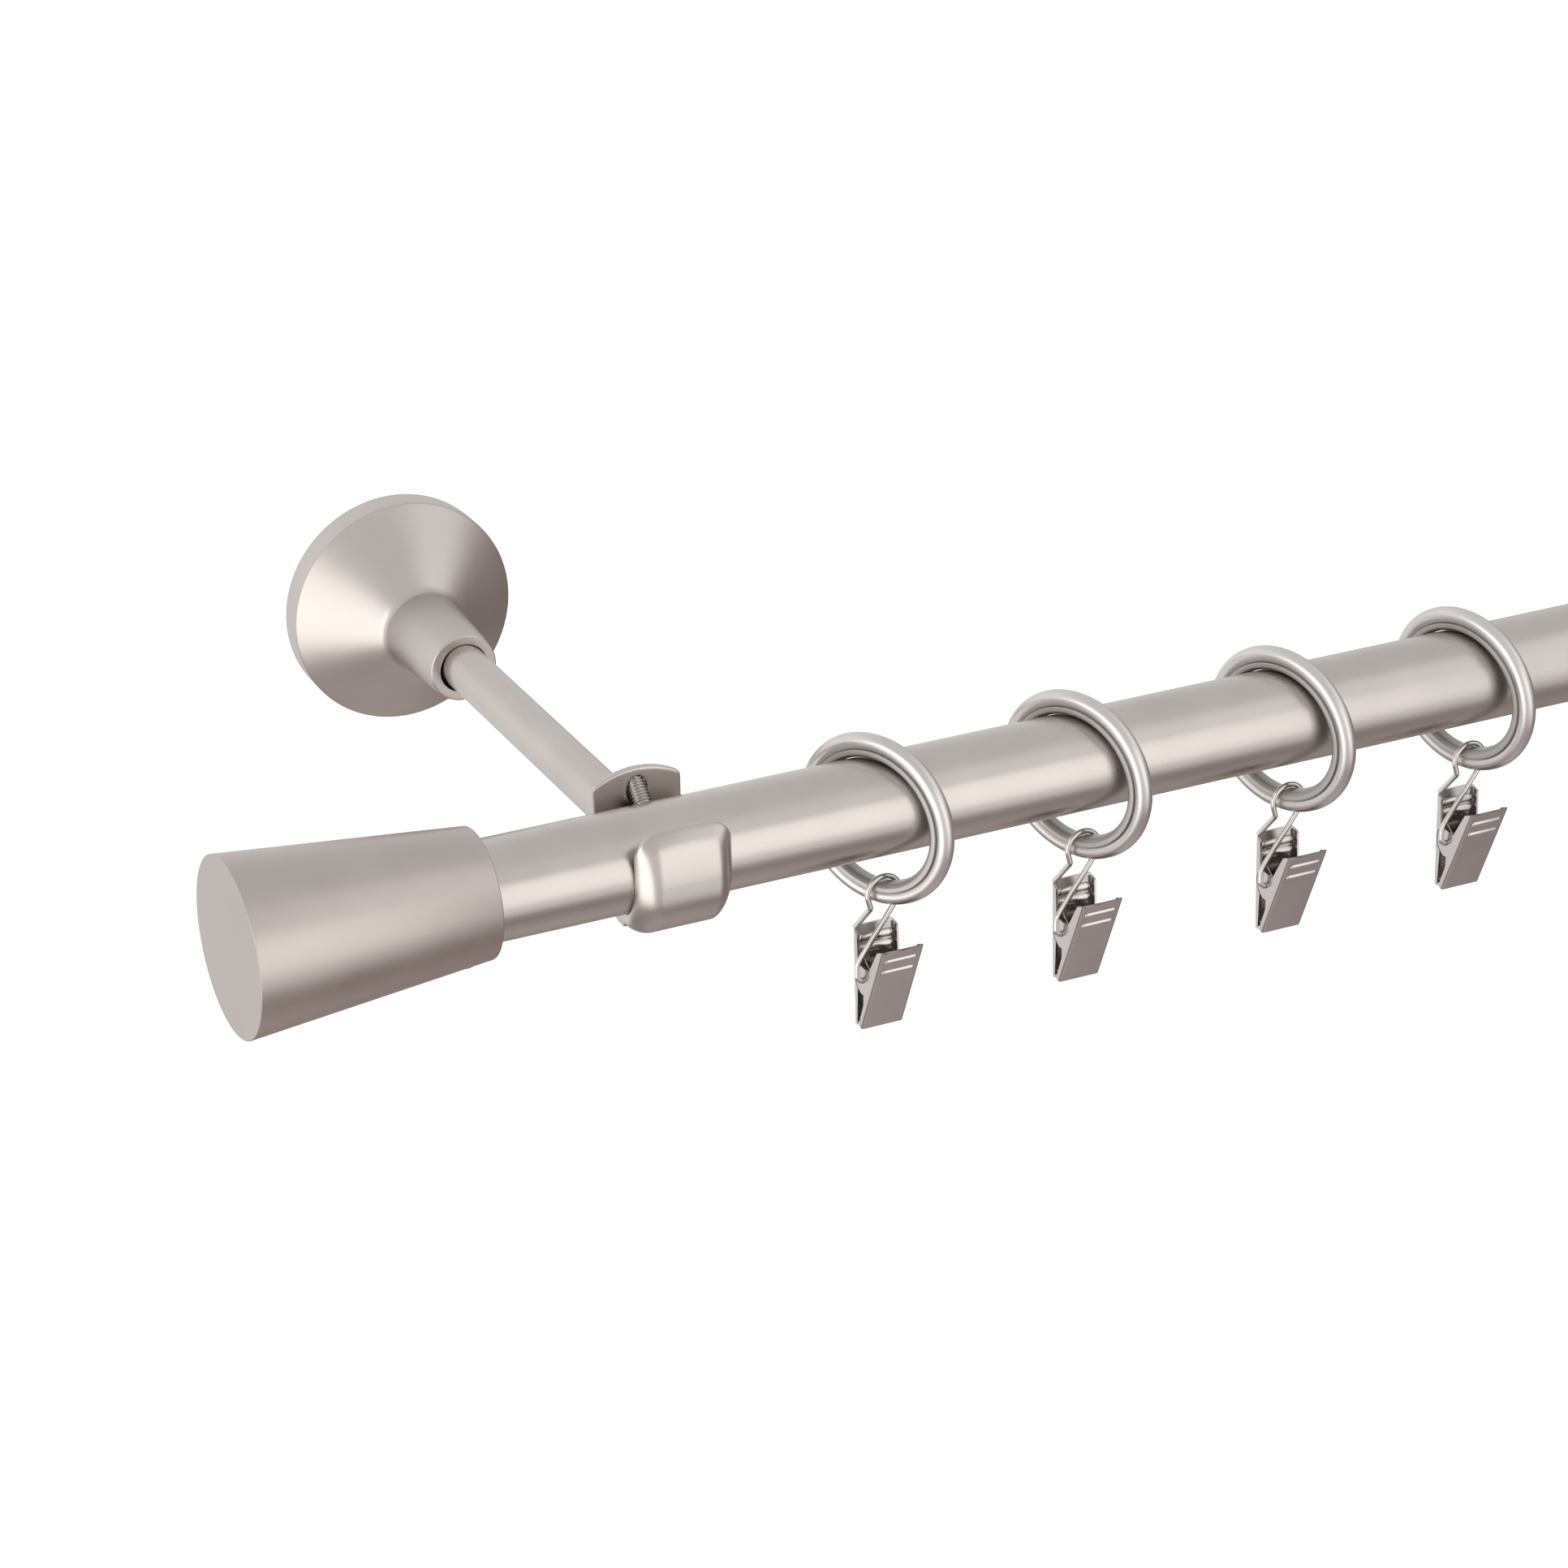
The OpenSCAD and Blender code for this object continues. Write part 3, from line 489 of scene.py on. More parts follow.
def finial_shape():
    big, small, e = FINIAL_BIG_D / 2, FINIAL_SMALL_D / 2, FINIAL_EDGE
    bore, depth = ROD_D / 2 + ROD_PLAY, FINIAL_LEN - FINIAL_SOCKET
    inner = ROD_D / 2 - ROD_WALL
    big_in, small_out = FINIAL_TAPER_AT_EDGES
    profile = [(0, 0), (big - 2 * e, 0)]
    profile += soft_corner((big - e, 0), (big, 0), (big - big_in, e), steps=6)
    profile += soft_corner(
        (small + small_out, FINIAL_LEN - e), (small, FINIAL_LEN), (small - e, FINIAL_LEN), steps=6
    )
    profile += [(bore, FINIAL_LEN), (bore, depth), (inner, depth), (inner, depth - FINIAL_FLOOR_T)]
    profile += [(big - FINIAL_SIDE_T, FINIAL_END_T), (0, FINIAL_END_T)]
    return lathe(profile, TURNED_STEPS)


def finial_with_seat():
    """The finial, with a flat seat and a hole for its locking screw on the underside near the mouth."""
    at = FINIAL_LEN - LOCK_INSET
    seat = tube([(LOCK_SEAT, 0, at), (FINIAL_BIG_D, 0, at)], LOCK_HEAD_D / 2 + LOCK_SEAT_PLAY, sides=48)
    hole = tube([(ROD_D / 2 - ROD_WALL, 0, at), (FINIAL_BIG_D, 0, at)], LOCK_D / 2 + LOCK_PLAY, sides=32)
    return combined(finial_shape(), cut=[seat, hole])


finial_mesh = finial_with_seat()
for side in SIDES:
    piece(
        f"{side}_cone", finial_mesh,
        wall_side[side] @ rod_place @ Matrix.Translation((finial_end, 0, 0)) @ AXIS_TO_X,
        turned_nickel, f"{side}_finial",
    )


# Brackets: cup, arm, cradle and clamp screw

def cup_shape():
    r, foot, end, bore = CUP_D / 2, NECK_FOOT_D / 2, NECK_END_D / 2, NECK_BORE_D / 2
    slope = math.degrees(math.atan2(r - CUP_ROUND - foot, NECK_FOOT - CUP_RIM))
    back_in, back_up = CUP_BACK_EDGE
    end_in, end_down = NECK_END_EDGE
    fillet_start, fillet_end = (
        (foot + out, NECK_FOOT + along) for out, along in (NECK_FILLET_START, NECK_FILLET_END)
    )
    inner_out, inner_along = NECK_INNER_CORNER
    profile = [(r - CUP_WALL, 0)]
    profile += soft_corner((r - back_in, 0), (r, 0), (r, back_up), steps=5)
    profile += arc((r - CUP_ROUND, CUP_RIM), CUP_ROUND, 0, slope, steps=14)
    profile += soft_corner(fillet_start, (foot, NECK_FOOT), fillet_end, steps=10)
    profile += soft_corner(
        (end + NECK_END_TAPER, CUP_LEN - end_down), (end, CUP_LEN), (end - end_in, CUP_LEN), steps=6
    )
    profile += soft_corner(
        (bore + NECK_BORE_EDGE, CUP_LEN), (bore, CUP_LEN), (bore, CUP_LEN - NECK_BORE_EDGE), steps=3
    )
    profile += [(bore, NECK_FOOT), (foot - CUP_WALL + inner_out, NECK_FOOT + inner_along)]
    profile += [(r - CUP_ROUND - CUP_WALL, CUP_RIM - CUP_INNER_ROUND), (r - CUP_WALL, CUP_RIM - CUP_WALL)]
    return lathe(profile, TURNED_STEPS)


def arm_shape(length):
    r, spigot, edge = ARM_D / 2, SPIGOT_D / 2, ARM_EDGE
    profile = [(0, 0), (r - edge, 0), (r, edge), (r, length - edge), (r - edge, length)]
    profile += [(spigot, length), (spigot, length + SPIGOT_LEN), (0, length + SPIGOT_LEN)]
    return lathe(profile, segments=96)


def thread_shape(length):
    """A set screw: a helical thread on its core, a chamfered tip and a socket in its end."""
    around, per_turn = 48, 10
    root, crest = CLAMP_D / 2 - THREAD_DEPTH, CLAMP_D / 2
    rows = int(length / THREAD_PITCH * per_turn)
    rings = []
    for i in range(rows + 1):
        z = length * i / rows
        near_end = min(z, length - z)
        fade = min(1, near_end / (THREAD_FADE_TURNS * THREAD_PITCH))
        ring = []
        for k in range(around):
            turns = z / THREAD_PITCH - k / around
            rise = 1 - abs(2 * (turns - math.floor(turns)) - 1)
            rise = min(1, max(0, THREAD_STEEPNESS * rise - THREAD_ROOT_FLAT))
            r = root + (crest - root) * rise * fade - TIP_CHAMFER * (1 - fade)
            a = 2 * math.pi * k / around
            ring.append((r * math.cos(a), r * math.sin(a), z))
        rings.append(ring)
    hex_r, (wider, deeper) = CLAMP_D / 4, SOCKET_CHAMFER
    for r, z in ((hex_r + wider, length), (hex_r, length - deeper), (hex_r, length - SOCKET_DEPTH)):
        ring = []
        for k in range(around):
            a = 2 * math.pi * k / around
            flat = math.cos(math.pi / 6) / math.cos((a % (math.pi / 3)) - math.pi / 6)
            shape_r = r if z == length else r * flat
            ring.append((shape_r * math.cos(a), shape_r * math.sin(a), z))
        rings.append(ring)
    return loft(rings)


def eased(x, a, b, at_a, at_b):
    """A smooth change from one value to another between a and b."""
    t = min(1, max(0, (x - a) / (b - a)))
    return at_a + (at_b - at_a) * t * t * (3 - 2 * t)


def lip_thickness(below):
    """Thickness of the band and lip over the seat, by the angle below the height of the rod's axis."""
    if below < LIP_THICKENS_TO:
        return eased(below, 0, LIP_THICKENS_TO, LIP_T, LIP_MAX_T)
    return eased(below, *LIP_THINS, LIP_MAX_T, BAND_T)


def lip_shape():
    """The front lip with the band under the rod: a cushion-like bar that follows the seat, then rises."""
    seat, half = ROD_D / 2 + ROD_PLAY, LIP_W / 2
    round_rows, rise_rows, half_columns = 40, 30, 20
    rows = []
    for i in range(round_rows + 1):
        below = BAND_END - BAND_END * i / round_rows
        a = math.radians(180 + below)
        rows.append((math.cos(a), math.sin(a), 0, lip_thickness(below), below, 0))
    for i in range(1, rise_rows + 1):
        z = LIP_TOP * math.sin(math.pi / 2 * i / rise_rows)
        over = max(0, (z - LIP_TOP + LIP_ROUND) / LIP_ROUND)
        thinned = ((z + LIP_TAPER_START) ** 2 - LIP_TAPER_START ** 2) / LIP_TAPER
        rows.append((-1, 0, z, lip_thickness(0) - thinned, 0, over))
    rings = []
    for ny, nz, z, thickness, below, over in rows:
        reach = eased(below, *LIP_NARROWS, half, BAND_W / 2)
        soft = eased(below, *LIP_NARROWS, LIP_ROUND, BAND_ROUND)
        edge = eased(below, *LIP_NARROWS, LIP_EDGE, BAND_T - BAND_ROUND)
        width = reach - soft + soft * math.sqrt(1 - over ** 2)
        inner, outer = [], []
        for k in range(2 * half_columns + 1):
            x = width * math.sin(math.pi / 2 * (k / half_columns - 1))
            aside = max(0, (abs(x) - reach + soft) / soft)
            cushion = max(0, 1 - aside ** LIP_CUSHION) ** (1 / LIP_CUSHION)
            t = edge + (thickness - edge) * cushion * math.sqrt(1 - over ** 2)
            drop = LIP_ARCH * (x / half) ** 2 * z / LIP_TOP
            inner.append((x, seat * ny, seat * nz + z - drop))
            outer.append((x, (seat + t) * ny, (seat + t) * nz + z - drop))
        rings.append(inner + outer[::-1])
    return loft(rings)


def cradle_mesh(node):
    """The cradle as a casting: the node's back half joined to the rounder lip, with its edges softened."""
    obj = bpy.data.objects.new("casting", frame["nodes"][node].data.copy())
    bpy.context.scene.collection.objects.link(obj)
    centre = Vector((middle(node).x, rod_axis.y, rod_axis.z))
    obj.data.transform(Matrix.Translation(-centre) @ Matrix.Scale(1 / MM, 4))
    size = 30
    square = ((-size, -size), (size, -size), (size, size), (-size, size))
    front = loft([[(x, y, z) for x, z in square] for y in (-size, CAST_FRONT)])
    helper = bpy.data.objects.new("front", mesh_of("front", front))
    bpy.context.scene.collection.objects.link(helper)
    behind = obj.modifiers.new("behind", "BOOLEAN")
    behind.operation = "DIFFERENCE"
    behind.solver = "EXACT"
    behind.object = helper
    bpy.context.view_layer.update()
    graph = bpy.context.evaluated_depsgraph_get()
    parts = bmesh.new()
    parts.from_mesh(bpy.data.meshes.new_from_object(obj.evaluated_get(graph)))
    parts.from_mesh(mesh_of("lip", lip_shape()))
    parts.to_mesh(obj.data)
    parts.free()
    obj.modifiers.clear()
    bpy.data.objects.remove(helper)
    grid = obj.modifiers.new("grid", "REMESH")
    grid.mode = "VOXEL"
    grid.voxel_size = CAST_GRID
    soften = obj.modifiers.new("soften", "SMOOTH")
    soften.factor = CAST_SMOOTHING
    soften.iterations = CAST_SMOOTHING_STEPS
    bpy.context.view_layer.update()
    graph = bpy.context.evaluated_depsgraph_get()
    mesh = bpy.data.meshes.new_from_object(obj.evaluated_get(graph))
    bpy.data.objects.remove(obj)
    mesh.transform(Matrix.Translation(centre))
    return mesh


arm_front, arm_back = (corner.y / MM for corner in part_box("left_arm"))
arm_z = middle("left_arm").z
cup_drop = middle("left_cup").z
cup_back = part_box("left_cup")[1].y / MM
clamp_place = rod_place @ turn(-CLAMP_ANGLE, "X") @ Matrix.Translation((0, 0, ROD_D / 2 + CLAMP_GAP))
for side in SIDES:
    place = wall_side[side]
    piece(
        f"{side}_rose", cup_shape(), place @ Matrix.Translation((0, cup_back, cup_drop)) @ AXIS_TO_ROOM,
        cup_nickel, f"{side}_cup",
    )
    piece(
        f"{side}_stem", arm_shape(arm_back - arm_front - SPIGOT_LEN),
        place @ Matrix.Translation((0, arm_front, arm_z)) @ turn(-90, "X"),
        rod_nickel, f"{side}_arm",
    )
    piece(
        f"{side}_set_screw", thread_shape(CLAMP_LEN), place @ clamp_place,
        steel, f"{side}_clamp_screw", crease=50,
    )
    piece(
        f"{side}_saddle", cradle_mesh(f"{side}_cradle"), Matrix.Identity(4),
        cast_nickel, f"{side}_cradle", crease=60,
    )


# Rings: hoop and liner

def hoop_shape():
    """A bar bent to a ring, with the fine groove of its butt joint at the bottom."""
    around, bar_sides, joint_steps = 180, 40, 8
    evenly = [2 * math.pi * i / around for i in range(around)]
    near = [-HOOP_JOINT_REACH + 2 * HOOP_JOINT_REACH * i / joint_steps for i in range(joint_steps + 1)]
    angles = sorted({*evenly, *[math.pi + a for a in near]})
    verts, faces = [], []
    for a in angles:
        along = (a - math.pi) * HOOP_R
        r = HOOP_BAR_D / 2 - HOOP_JOINT_DEPTH * math.exp(-((along / HOOP_JOINT_W) ** 2))
        for k in range(bar_sides):
            b = 2 * math.pi * k / bar_sides
            out = HOOP_R + r * math.cos(b)
            verts.append((r * math.sin(b), -out * math.sin(a), out * math.cos(a)))
    n = len(angles)
    for i in range(n):
        for k in range(bar_sides):
            here, ahead, m = i * bar_sides, (i + 1) % n * bar_sides, (k + 1) % bar_sides
            faces.append((here + k, here + m, ahead + m, ahead + k))
    return verts, faces


def liner_shape():
    """The liner in the hoop: a rounded crown to the rod, flat sides and a seat for the hoop's bar."""
    half, flat = LINER_W / 2, LINER_W / 2 - LINER_ROUND
    seat, lip = HOOP_BAR_D / 2 + LINER_SEAT, HOOP_R - LINER_EDGE
    opening = math.degrees(math.acos(-LINER_EDGE / seat))
    crown = arc((LINER_R + LINER_ROUND, flat), LINER_ROUND, 180, LINER_CROWN_TO, steps=7)
    rim = soft_corner(crown[-1], (LINER_R + LINER_CORNER, half), (LINER_R + LINER_RIM, half), steps=5)
    upper = crown + rim[1:]
    profile = [(r, -h) for r, h in reversed(upper)] + upper
    edge = LINER_LIP_ROUND
    profile += soft_corner((lip - edge, half), (lip, half), (lip, half - edge), steps=3)
    profile += arc((HOOP_R, 0), seat, opening, 360 - opening, steps=14)
    profile += soft_corner((lip, edge - half), (lip, -half), (lip - edge, -half), steps=3)
    return lathe(profile, TURNED_STEPS)


def ring_place(hanger):
    """The ring's own frame, with the hoop's axis along X, leaned and turned."""
    kind = hanger - (FIRST_RIGHT_HANGER if hanger >= FIRST_RIGHT_HANGER else 1)
    lean, twist = -(RING_LEAN + kind * RING_LEAN_STEP), RING_TURN - kind * RING_TURN_STEP
    at = Matrix.Translation(middle(f"hoop_{hanger}"))
    return at @ hanger_side(hanger) @ turn(twist, "Z") @ turn(lean, "Y")


# Clips, in the frame of their pin: X along the pin from its left end, Y to the wall, Z up

def direction(angle):
    """A unit vector in the hook's plane."""
    return Vector((math.cos(math.radians(angle)), 0, math.sin(math.radians(angle))))


def in_plane(points):
    return [Vector((x, 0, z)) for x, z in points]


def hook_path():
    """The hook's wire: pin, bend, leg, loop, kink and tail."""
    loop = Vector((CLIP_W / 2, 0, HOOK_LEN))
    leg_x = -HOOK_GAP
    path = [Vector((CLIP_W + PIN_OUT, 0, 0)), Vector((CLIP_W / 2, 0, 0))]
    path += in_plane(arc((leg_x + PIN_BEND, PIN_BEND), PIN_BEND, 270, 180, steps=10))
    bend = Vector((leg_x + LEG_BEND, 0, LEG_START))
    to_loop = loop - bend
    reach = math.asin((LEG_BEND + LOOP_R) / to_loop.length)
    lean = math.degrees(math.atan2(to_loop.z, to_loop.x) - reach)
    path += in_plane(arc((bend.x, bend.z), LEG_BEND, 180, 90 + lean, steps=12))
    out = 270 + KINK_TURN
    path += in_plane(arc((loop.x, loop.z), LOOP_R, lean - 90, out - 90, steps=48))
    kink = path[-1] + KINK_LEN * direction(out)
    tip = Vector((-TAIL_OUT, REAR_OFF - SHEET_T, REAR_UP + TAIL_UP))
    tail = (tip - kink).normalized()
    side = (tail - tail.dot(direction(out)) * direction(out)).normalized()
    turned = math.acos(tail.dot(direction(out)))
    bend_steps = 8
    for i in range(bend_steps + 1):
        a = turned * i / bend_steps
        path.append(kink + KINK_BEND * (side * (1 - math.cos(a)) + direction(out) * math.sin(a)))
    path.append(path[-1] + (tip - path[-1]).length * tail)
    return path


def spring_paths():
    """The curls with the leg on the rear jaw, and the last curl's end with the leg on the front jaw."""
    wire = SPRING_WIRE_D / 2
    rear_tan, front_tan = (math.tan(math.radians(a)) for a in (REAR_LEAN, FRONT_LEAN))
    front_cos = math.cos(math.radians(FRONT_LEAN))
    rear = (REAR_OFF - SHEET_T + REAR_LEG_Z * rear_tan - wire - REAR_LEG_GAP, REAR_LEG_Z)
    front_y = -FRONT_OFF - FRONT_LEG_Z * front_tan + (SHEET_T + wire) / front_cos + FRONT_LEG_GAP
    front = (front_y, FRONT_LEG_Z)
    start = math.degrees(math.atan2(rear[1], rear[0]) + math.acos(SPRING_R / math.hypot(*rear)))
    end = math.degrees(math.atan2(front[1], front[0]) - math.acos(SPRING_R / math.hypot(*front)))
    end += 360 * SPRING_CURLS

    def curl(a):
        along = SPRING_X + SPRING_PITCH * (a - start) / 360
        return Vector((along, SPRING_R * math.cos(math.radians(a)), SPRING_R * math.sin(math.radians(a))))

    split = end - SPRING_SPLIT
    steps, leg_steps = round((split - start) / CURL_STEP), 3
    coil = [Vector((SPRING_X, *rear))]
    coil += [curl(start + (split - start) * i / steps) for i in range(steps + 1)]
    leg = [curl(split + SPRING_SPLIT * i / leg_steps) for i in range(leg_steps + 1)]
    leg.append(Vector((curl(end).x, *front)))
    return coil, leg


def prism(outline, x, thickness):
    """A plate across the pin: an outline of (depth, height) points made thick from x."""
    return loft([[(at, y, z) for y, z in outline] for at in (x, x + thickness)])


def channel(up, down, depth, inward):
    """A sheet bent round its long edges, with the panel's outer face at y = 0 and the flanges inwards."""
    r, t, w = FOLD_R, SHEET_T, CLIP_W
    section = [(0, depth)]
    section += arc((r, r), r, 180, 270, steps=8)
    section += arc((w - r, r), r, 270, 360, steps=8)
    section += [(w, depth), (w - t, depth)]
    section += arc((w - r, r), r - t, 360, 270, steps=4)
    section += arc((r, r), r - t, 270, 180, steps=4)
    section += [(t, depth)]
    return loft([[(x, inward * y, z) for x, y in section] for z in (-down - SPARE, up + SPARE)])


def face_outline(up, down, r):
    """What a jaw's panel is kept in, seen from the front: rounded upper corners, and wide below them."""
    w, bottom, reach = CLIP_W, -down - 2 * SPARE, 9
    outline = [(-SPARE, bottom), (-SPARE, up - r)]
    outline += arc((r, up - r), r, 180, 90, steps=8)
    outline += arc((w - r, up - r), r, 90, 0, steps=8)
    outline += [(w + SPARE, up - r), (w + SPARE, bottom)]
    return loft([[(x, y, z) for x, z in outline] for y in (-reach, reach)])


def lens_radius(width, height):
    """The radius of an arc over a chord of some width that rises to some height."""
    return (width ** 2 / 4 + height ** 2) / (2 * height)


def rib(face, z, width, height, inset, over):
    """A lens-shaped bar along X that stands height out of a face towards -Y, with rounded ends."""
    radius = lens_radius(width, height)
    half = math.degrees(math.asin(width / 2 / radius))
    section = [(y + radius - height, v) for y, v in arc((0, 0), radius, 180 - half, 180 + half, steps=12)]
    section += [(over, -width / 2), (over, width / 2)]
    turns = [math.radians(a) for a in range(RIB_END_STEP, 90 + 1, RIB_END_STEP)]
    ends = [(inset + width / 2 * (1 - math.cos(a)), math.sin(a)) for a in turns]
    stations = ends + [(CLIP_W - x, size) for x, size in reversed(ends)]
    return loft([
        [(x, face + (y * size if y < 0 else y), z + v * size) for y, v in section]
        for x, size in stations
    ])


def ribs(face, up, sizes):
    """A jaw's two pressed ribs, and the hollows of the press behind them."""
    width, height, inset = sizes["width"], sizes["height"], sizes["inset"]
    hollow_width = 2 * math.sqrt(2 * height * (lens_radius(width, height) - SHEET_T) - height ** 2)
    raised, hollows = [], []
    for z in (up - sizes["top"], up - sizes["top"] - sizes["step"]):
        raised.append(rib(face, z, width, height, inset, SHEET_T / 2))
        hollows.append(rib(face + SHEET_T, z, hollow_width, height, inset + SHEET_T, HOLLOW_DEPTH))
    return raised, hollows


def toothed_lip(down, inward):
    """The gripping lip along a jaw's tip, with its row of teeth."""
    depth = TOOTHED_LIP_DEPTH
    first, last = SHEET_T - TOOTHED_LIP_LAP, CLIP_W - SHEET_T + TOOTHED_LIP_LAP
    step = (last - first) / TEETH
    outline = [(first, SHEET_T / 2), (first, depth)]
    for i in range(TEETH):
        outline += [(first + (i + 0.5) * step, depth + TOOTH), (first + (i + 1) * step, depth)]
    outline.append((last, SHEET_T / 2))
    bottom = TOOTHED_LIP_LIFT - down
    return loft([[(x, inward * d, z) for x, d in outline] for z in (bottom, bottom + SHEET_T)])


def jaw_mesh(up, down, lean, sheet, corner, side, pressed, ears=()):
    """A jaw: a bent sheet kept in its outlines, joined to ears, teeth and ribs, and cut for the pin."""
    inward, depth = sheet
    raised, hollows = pressed
    kept = [moved(face_outline(up, down, corner), lean), prism(side, -SPARE, CLIP_W + 2 * SPARE)]
    joined = [*ears, *(moved(shape, lean) for shape in (toothed_lip(down, inward), *raised))]
    pin = tube([(-SPARE, 0, 0), (CLIP_W + SPARE, 0, 0)], PIN_HOLE_D / 2, sides=32)
    cut = [*(moved(shape, lean) for shape in hollows), pin]
    return combined(moved(channel(up, down, depth, inward), lean), kept, joined, cut)


def front_jaw_mesh():
    cos_l, sin_l = math.cos(math.radians(FRONT_LEAN)), math.sin(math.radians(FRONT_LEAN))
    up, down = FRONT_UP / cos_l, FRONT_DOWN / cos_l
    lean = Matrix.Translation((0, -FRONT_OFF, 0)) @ turn(FRONT_LEAN, "X")

    def at(depth, height):
        return (-FRONT_OFF + depth * cos_l - height * sin_l, depth * sin_l + height * cos_l)

    h, top = EAR_H / 2, up - FRONT_CORNER
    above, corner = (SHEET_T + play for play in FLANGE_PLAY)
    (shoulder_y, shoulder_down), (notch_y, notch_down) = FRONT_SHOULDER, FRONT_NOTCH
    side = [at(-SPARE, -down), at(-SPARE, up + SPARE), at(above, up + SPARE)]
    side.append(at(corner, top + FRONT_CORNER_UP))
    side += [at(FLANGE_TOP, top - FRONT_SHOULDER_DROP), (shoulder_y, h - shoulder_down)]
    side += arc((0, 0), h, FRONT_EAR_ARC, -FRONT_EAR_ARC, steps=14)
    side += [(FRONT_EAR_FOOT, -h), (notch_y, -h), (notch_y, -h - notch_down), at(FLANGE_TIP, -down)]
    pressed = ribs(0, up, FRONT_RIBS)
    return jaw_mesh(up, down, lean, (1, FRONT_SHEET), FRONT_CORNER, side, pressed)


def rear_jaw_mesh():
    cos_l, sin_l = math.cos(math.radians(REAR_LEAN)), math.sin(math.radians(REAR_LEAN))
    up, down = REAR_UP / cos_l, REAR_DOWN / cos_l
    lean = Matrix.Translation((0, REAR_OFF, 0)) @ turn(-REAR_LEAN, "X")

    def at(depth, height):
        return (REAR_OFF - depth * cos_l + height * sin_l, depth * sin_l + height * cos_l)

    top, ear_x, ear_y = up - REAR_CORNER, SHEET_T + EAR_PLAY, REAR_OFF - SHEET_T / 2
    above, corner = (SHEET_T + play for play in FLANGE_PLAY)
    side = [at(-SPARE, -down), at(-SPARE, up + SPARE), at(above, up + SPARE)]
    side += [at(corner, top + REAR_CORNER_UP), at(FLANGE_TOP, top)]
    side += arc((0, 0), EAR_H / 2 + EAR_CLEARANCE, REAR_EAR_ARC, -REAR_EAR_ARC, steps=12)
    side.append(at(FLANGE_TIP, -down))
    ear = arc((0, 0), EAR_R, 90, 270, steps=16) + [(ear_y, -EAR_R), (ear_y, EAR_R)]
    ears = [prism(ear, x, SHEET_T) for x in (ear_x, CLIP_W - SHEET_T - ear_x)]
    pressed = ribs(-SHEET_T, up, REAR_RIBS)
    return jaw_mesh(up, down, lean, (-1, REAR_SHEET), REAR_CORNER, side, pressed, ears)


hoop_mesh = mesh_of("hoop", hoop_shape())
liner_mesh = mesh_of("liner", liner_shape())
hook_mesh = mesh_of("hook", tube(hook_path(), WIRE_D / 2, sides=20))
coil_path, leg_path = spring_paths()
coil_mesh = mesh_of("coil", tube(coil_path, SPRING_WIRE_D / 2, sides=12))
leg_mesh = mesh_of("leg", tube(leg_path, SPRING_WIRE_D / 2, sides=12))
front_mesh = front_jaw_mesh()
rear_mesh = rear_jaw_mesh()

for hanger in HANGERS:
    place = ring_place(hanger)
    piece(f"ring_bar_{hanger}", hoop_mesh, place, silver, f"hoop_{hanger}", crease=60)
    piece(f"ring_liner_{hanger}", liner_mesh, place @ AXIS_TO_X, liner_grey, f"liner_{hanger}", crease=40)
    loop = Vector(joints[f"clip_{hanger}_swing"]["pos_m"]) / MM
    clip = Matrix.Translation(loop) @ hanger_side(hanger) @ Matrix.Translation((-CLIP_W / 2, 0, -HOOK_LEN))
    spring = f"spring_{hanger}"
    rear_body, front_body = body_of[f"hook_{hanger}"], body_of[f"front_jaw_{hanger}"]
    piece(f"wire_hook_{hanger}", hook_mesh, clip, bright, f"hook_{hanger}", crease=60)
    piece(f"rear_grip_{hanger}", rear_mesh, clip, sheet_nickel, f"rear_jaw_{hanger}", bevel=SHEET_BEVEL)
    piece(f"front_grip_{hanger}", front_mesh, clip, sheet_nickel, f"front_jaw_{hanger}", bevel=SHEET_BEVEL)
    piece(f"spring_coil_{hanger}", coil_mesh, clip, steel, spring, body=rear_body, crease=60)
    piece(f"spring_leg_{hanger}", leg_mesh, clip, steel, spring, replaced=False, body=front_body, crease=60)


# Studio: soft lights in front and at the left. The surroundings that the metal shows are pale above, and
# darker below and at the right.

LOOKED_FROM = Vector((0, -0.15, 0))
LIGHT_COLOUR = (1, 0.99, 0.965)
GROUND_TINT = (1.0, 0.86, 0.83, 1)
WHITE = (1, 1, 1, 1)


def towards(azimuth, elevation):
    """A direction, in degrees: azimuth 0 is the room, 90 the right, and 180 the wall."""
    a, e = math.radians(azimuth), math.radians(elevation)
    return Vector((math.sin(a) * math.cos(e), -math.cos(a) * math.cos(e), math.sin(e)))


def softbox(name, azimuths, elevations, distance, radiance):
    """An area light that fills a range of directions, in degrees."""
    wide, high = (b - a for a, b in (azimuths, elevations))
    data = bpy.data.lights.new(name, "AREA")
    data.shape = "RECTANGLE"
    data.size = 2 * distance * math.tan(math.radians(wide / 2))
    data.size_y = 2 * distance * math.tan(math.radians(high / 2))
    data.energy = radiance * data.size * data.size_y * math.pi
    data.color = LIGHT_COLOUR
    obj = bpy.data.objects.new(name, data)
    bpy.context.scene.collection.objects.link(obj)
    facing = towards(sum(azimuths) / 2, sum(elevations) / 2)
    obj.location = LOOKED_FROM + facing * distance
    obj.rotation_euler = (-facing).to_track_quat("-Z", "Y").to_euler()


softbox("front_light", (8, 38), (-20, 29), distance=1.6, radiance=0.5)
softbox("front_light_low", (4, 40), (-36, 30), distance=1.62, radiance=0.22)
softbox("front_light_wide", (-26, 38), (-12, 22), distance=1.64, radiance=0.16)
softbox("left_light", (-98, -45), (-38, 30), distance=1.2, radiance=1.45)

world = bpy.data.worlds.new("studio")
bpy.context.scene.world = world
world.use_nodes = True
wn, wl = world.node_tree.nodes, world.node_tree.links
wn.clear()
view_of = wn.new("ShaderNodeTexCoord").outputs["Generated"]


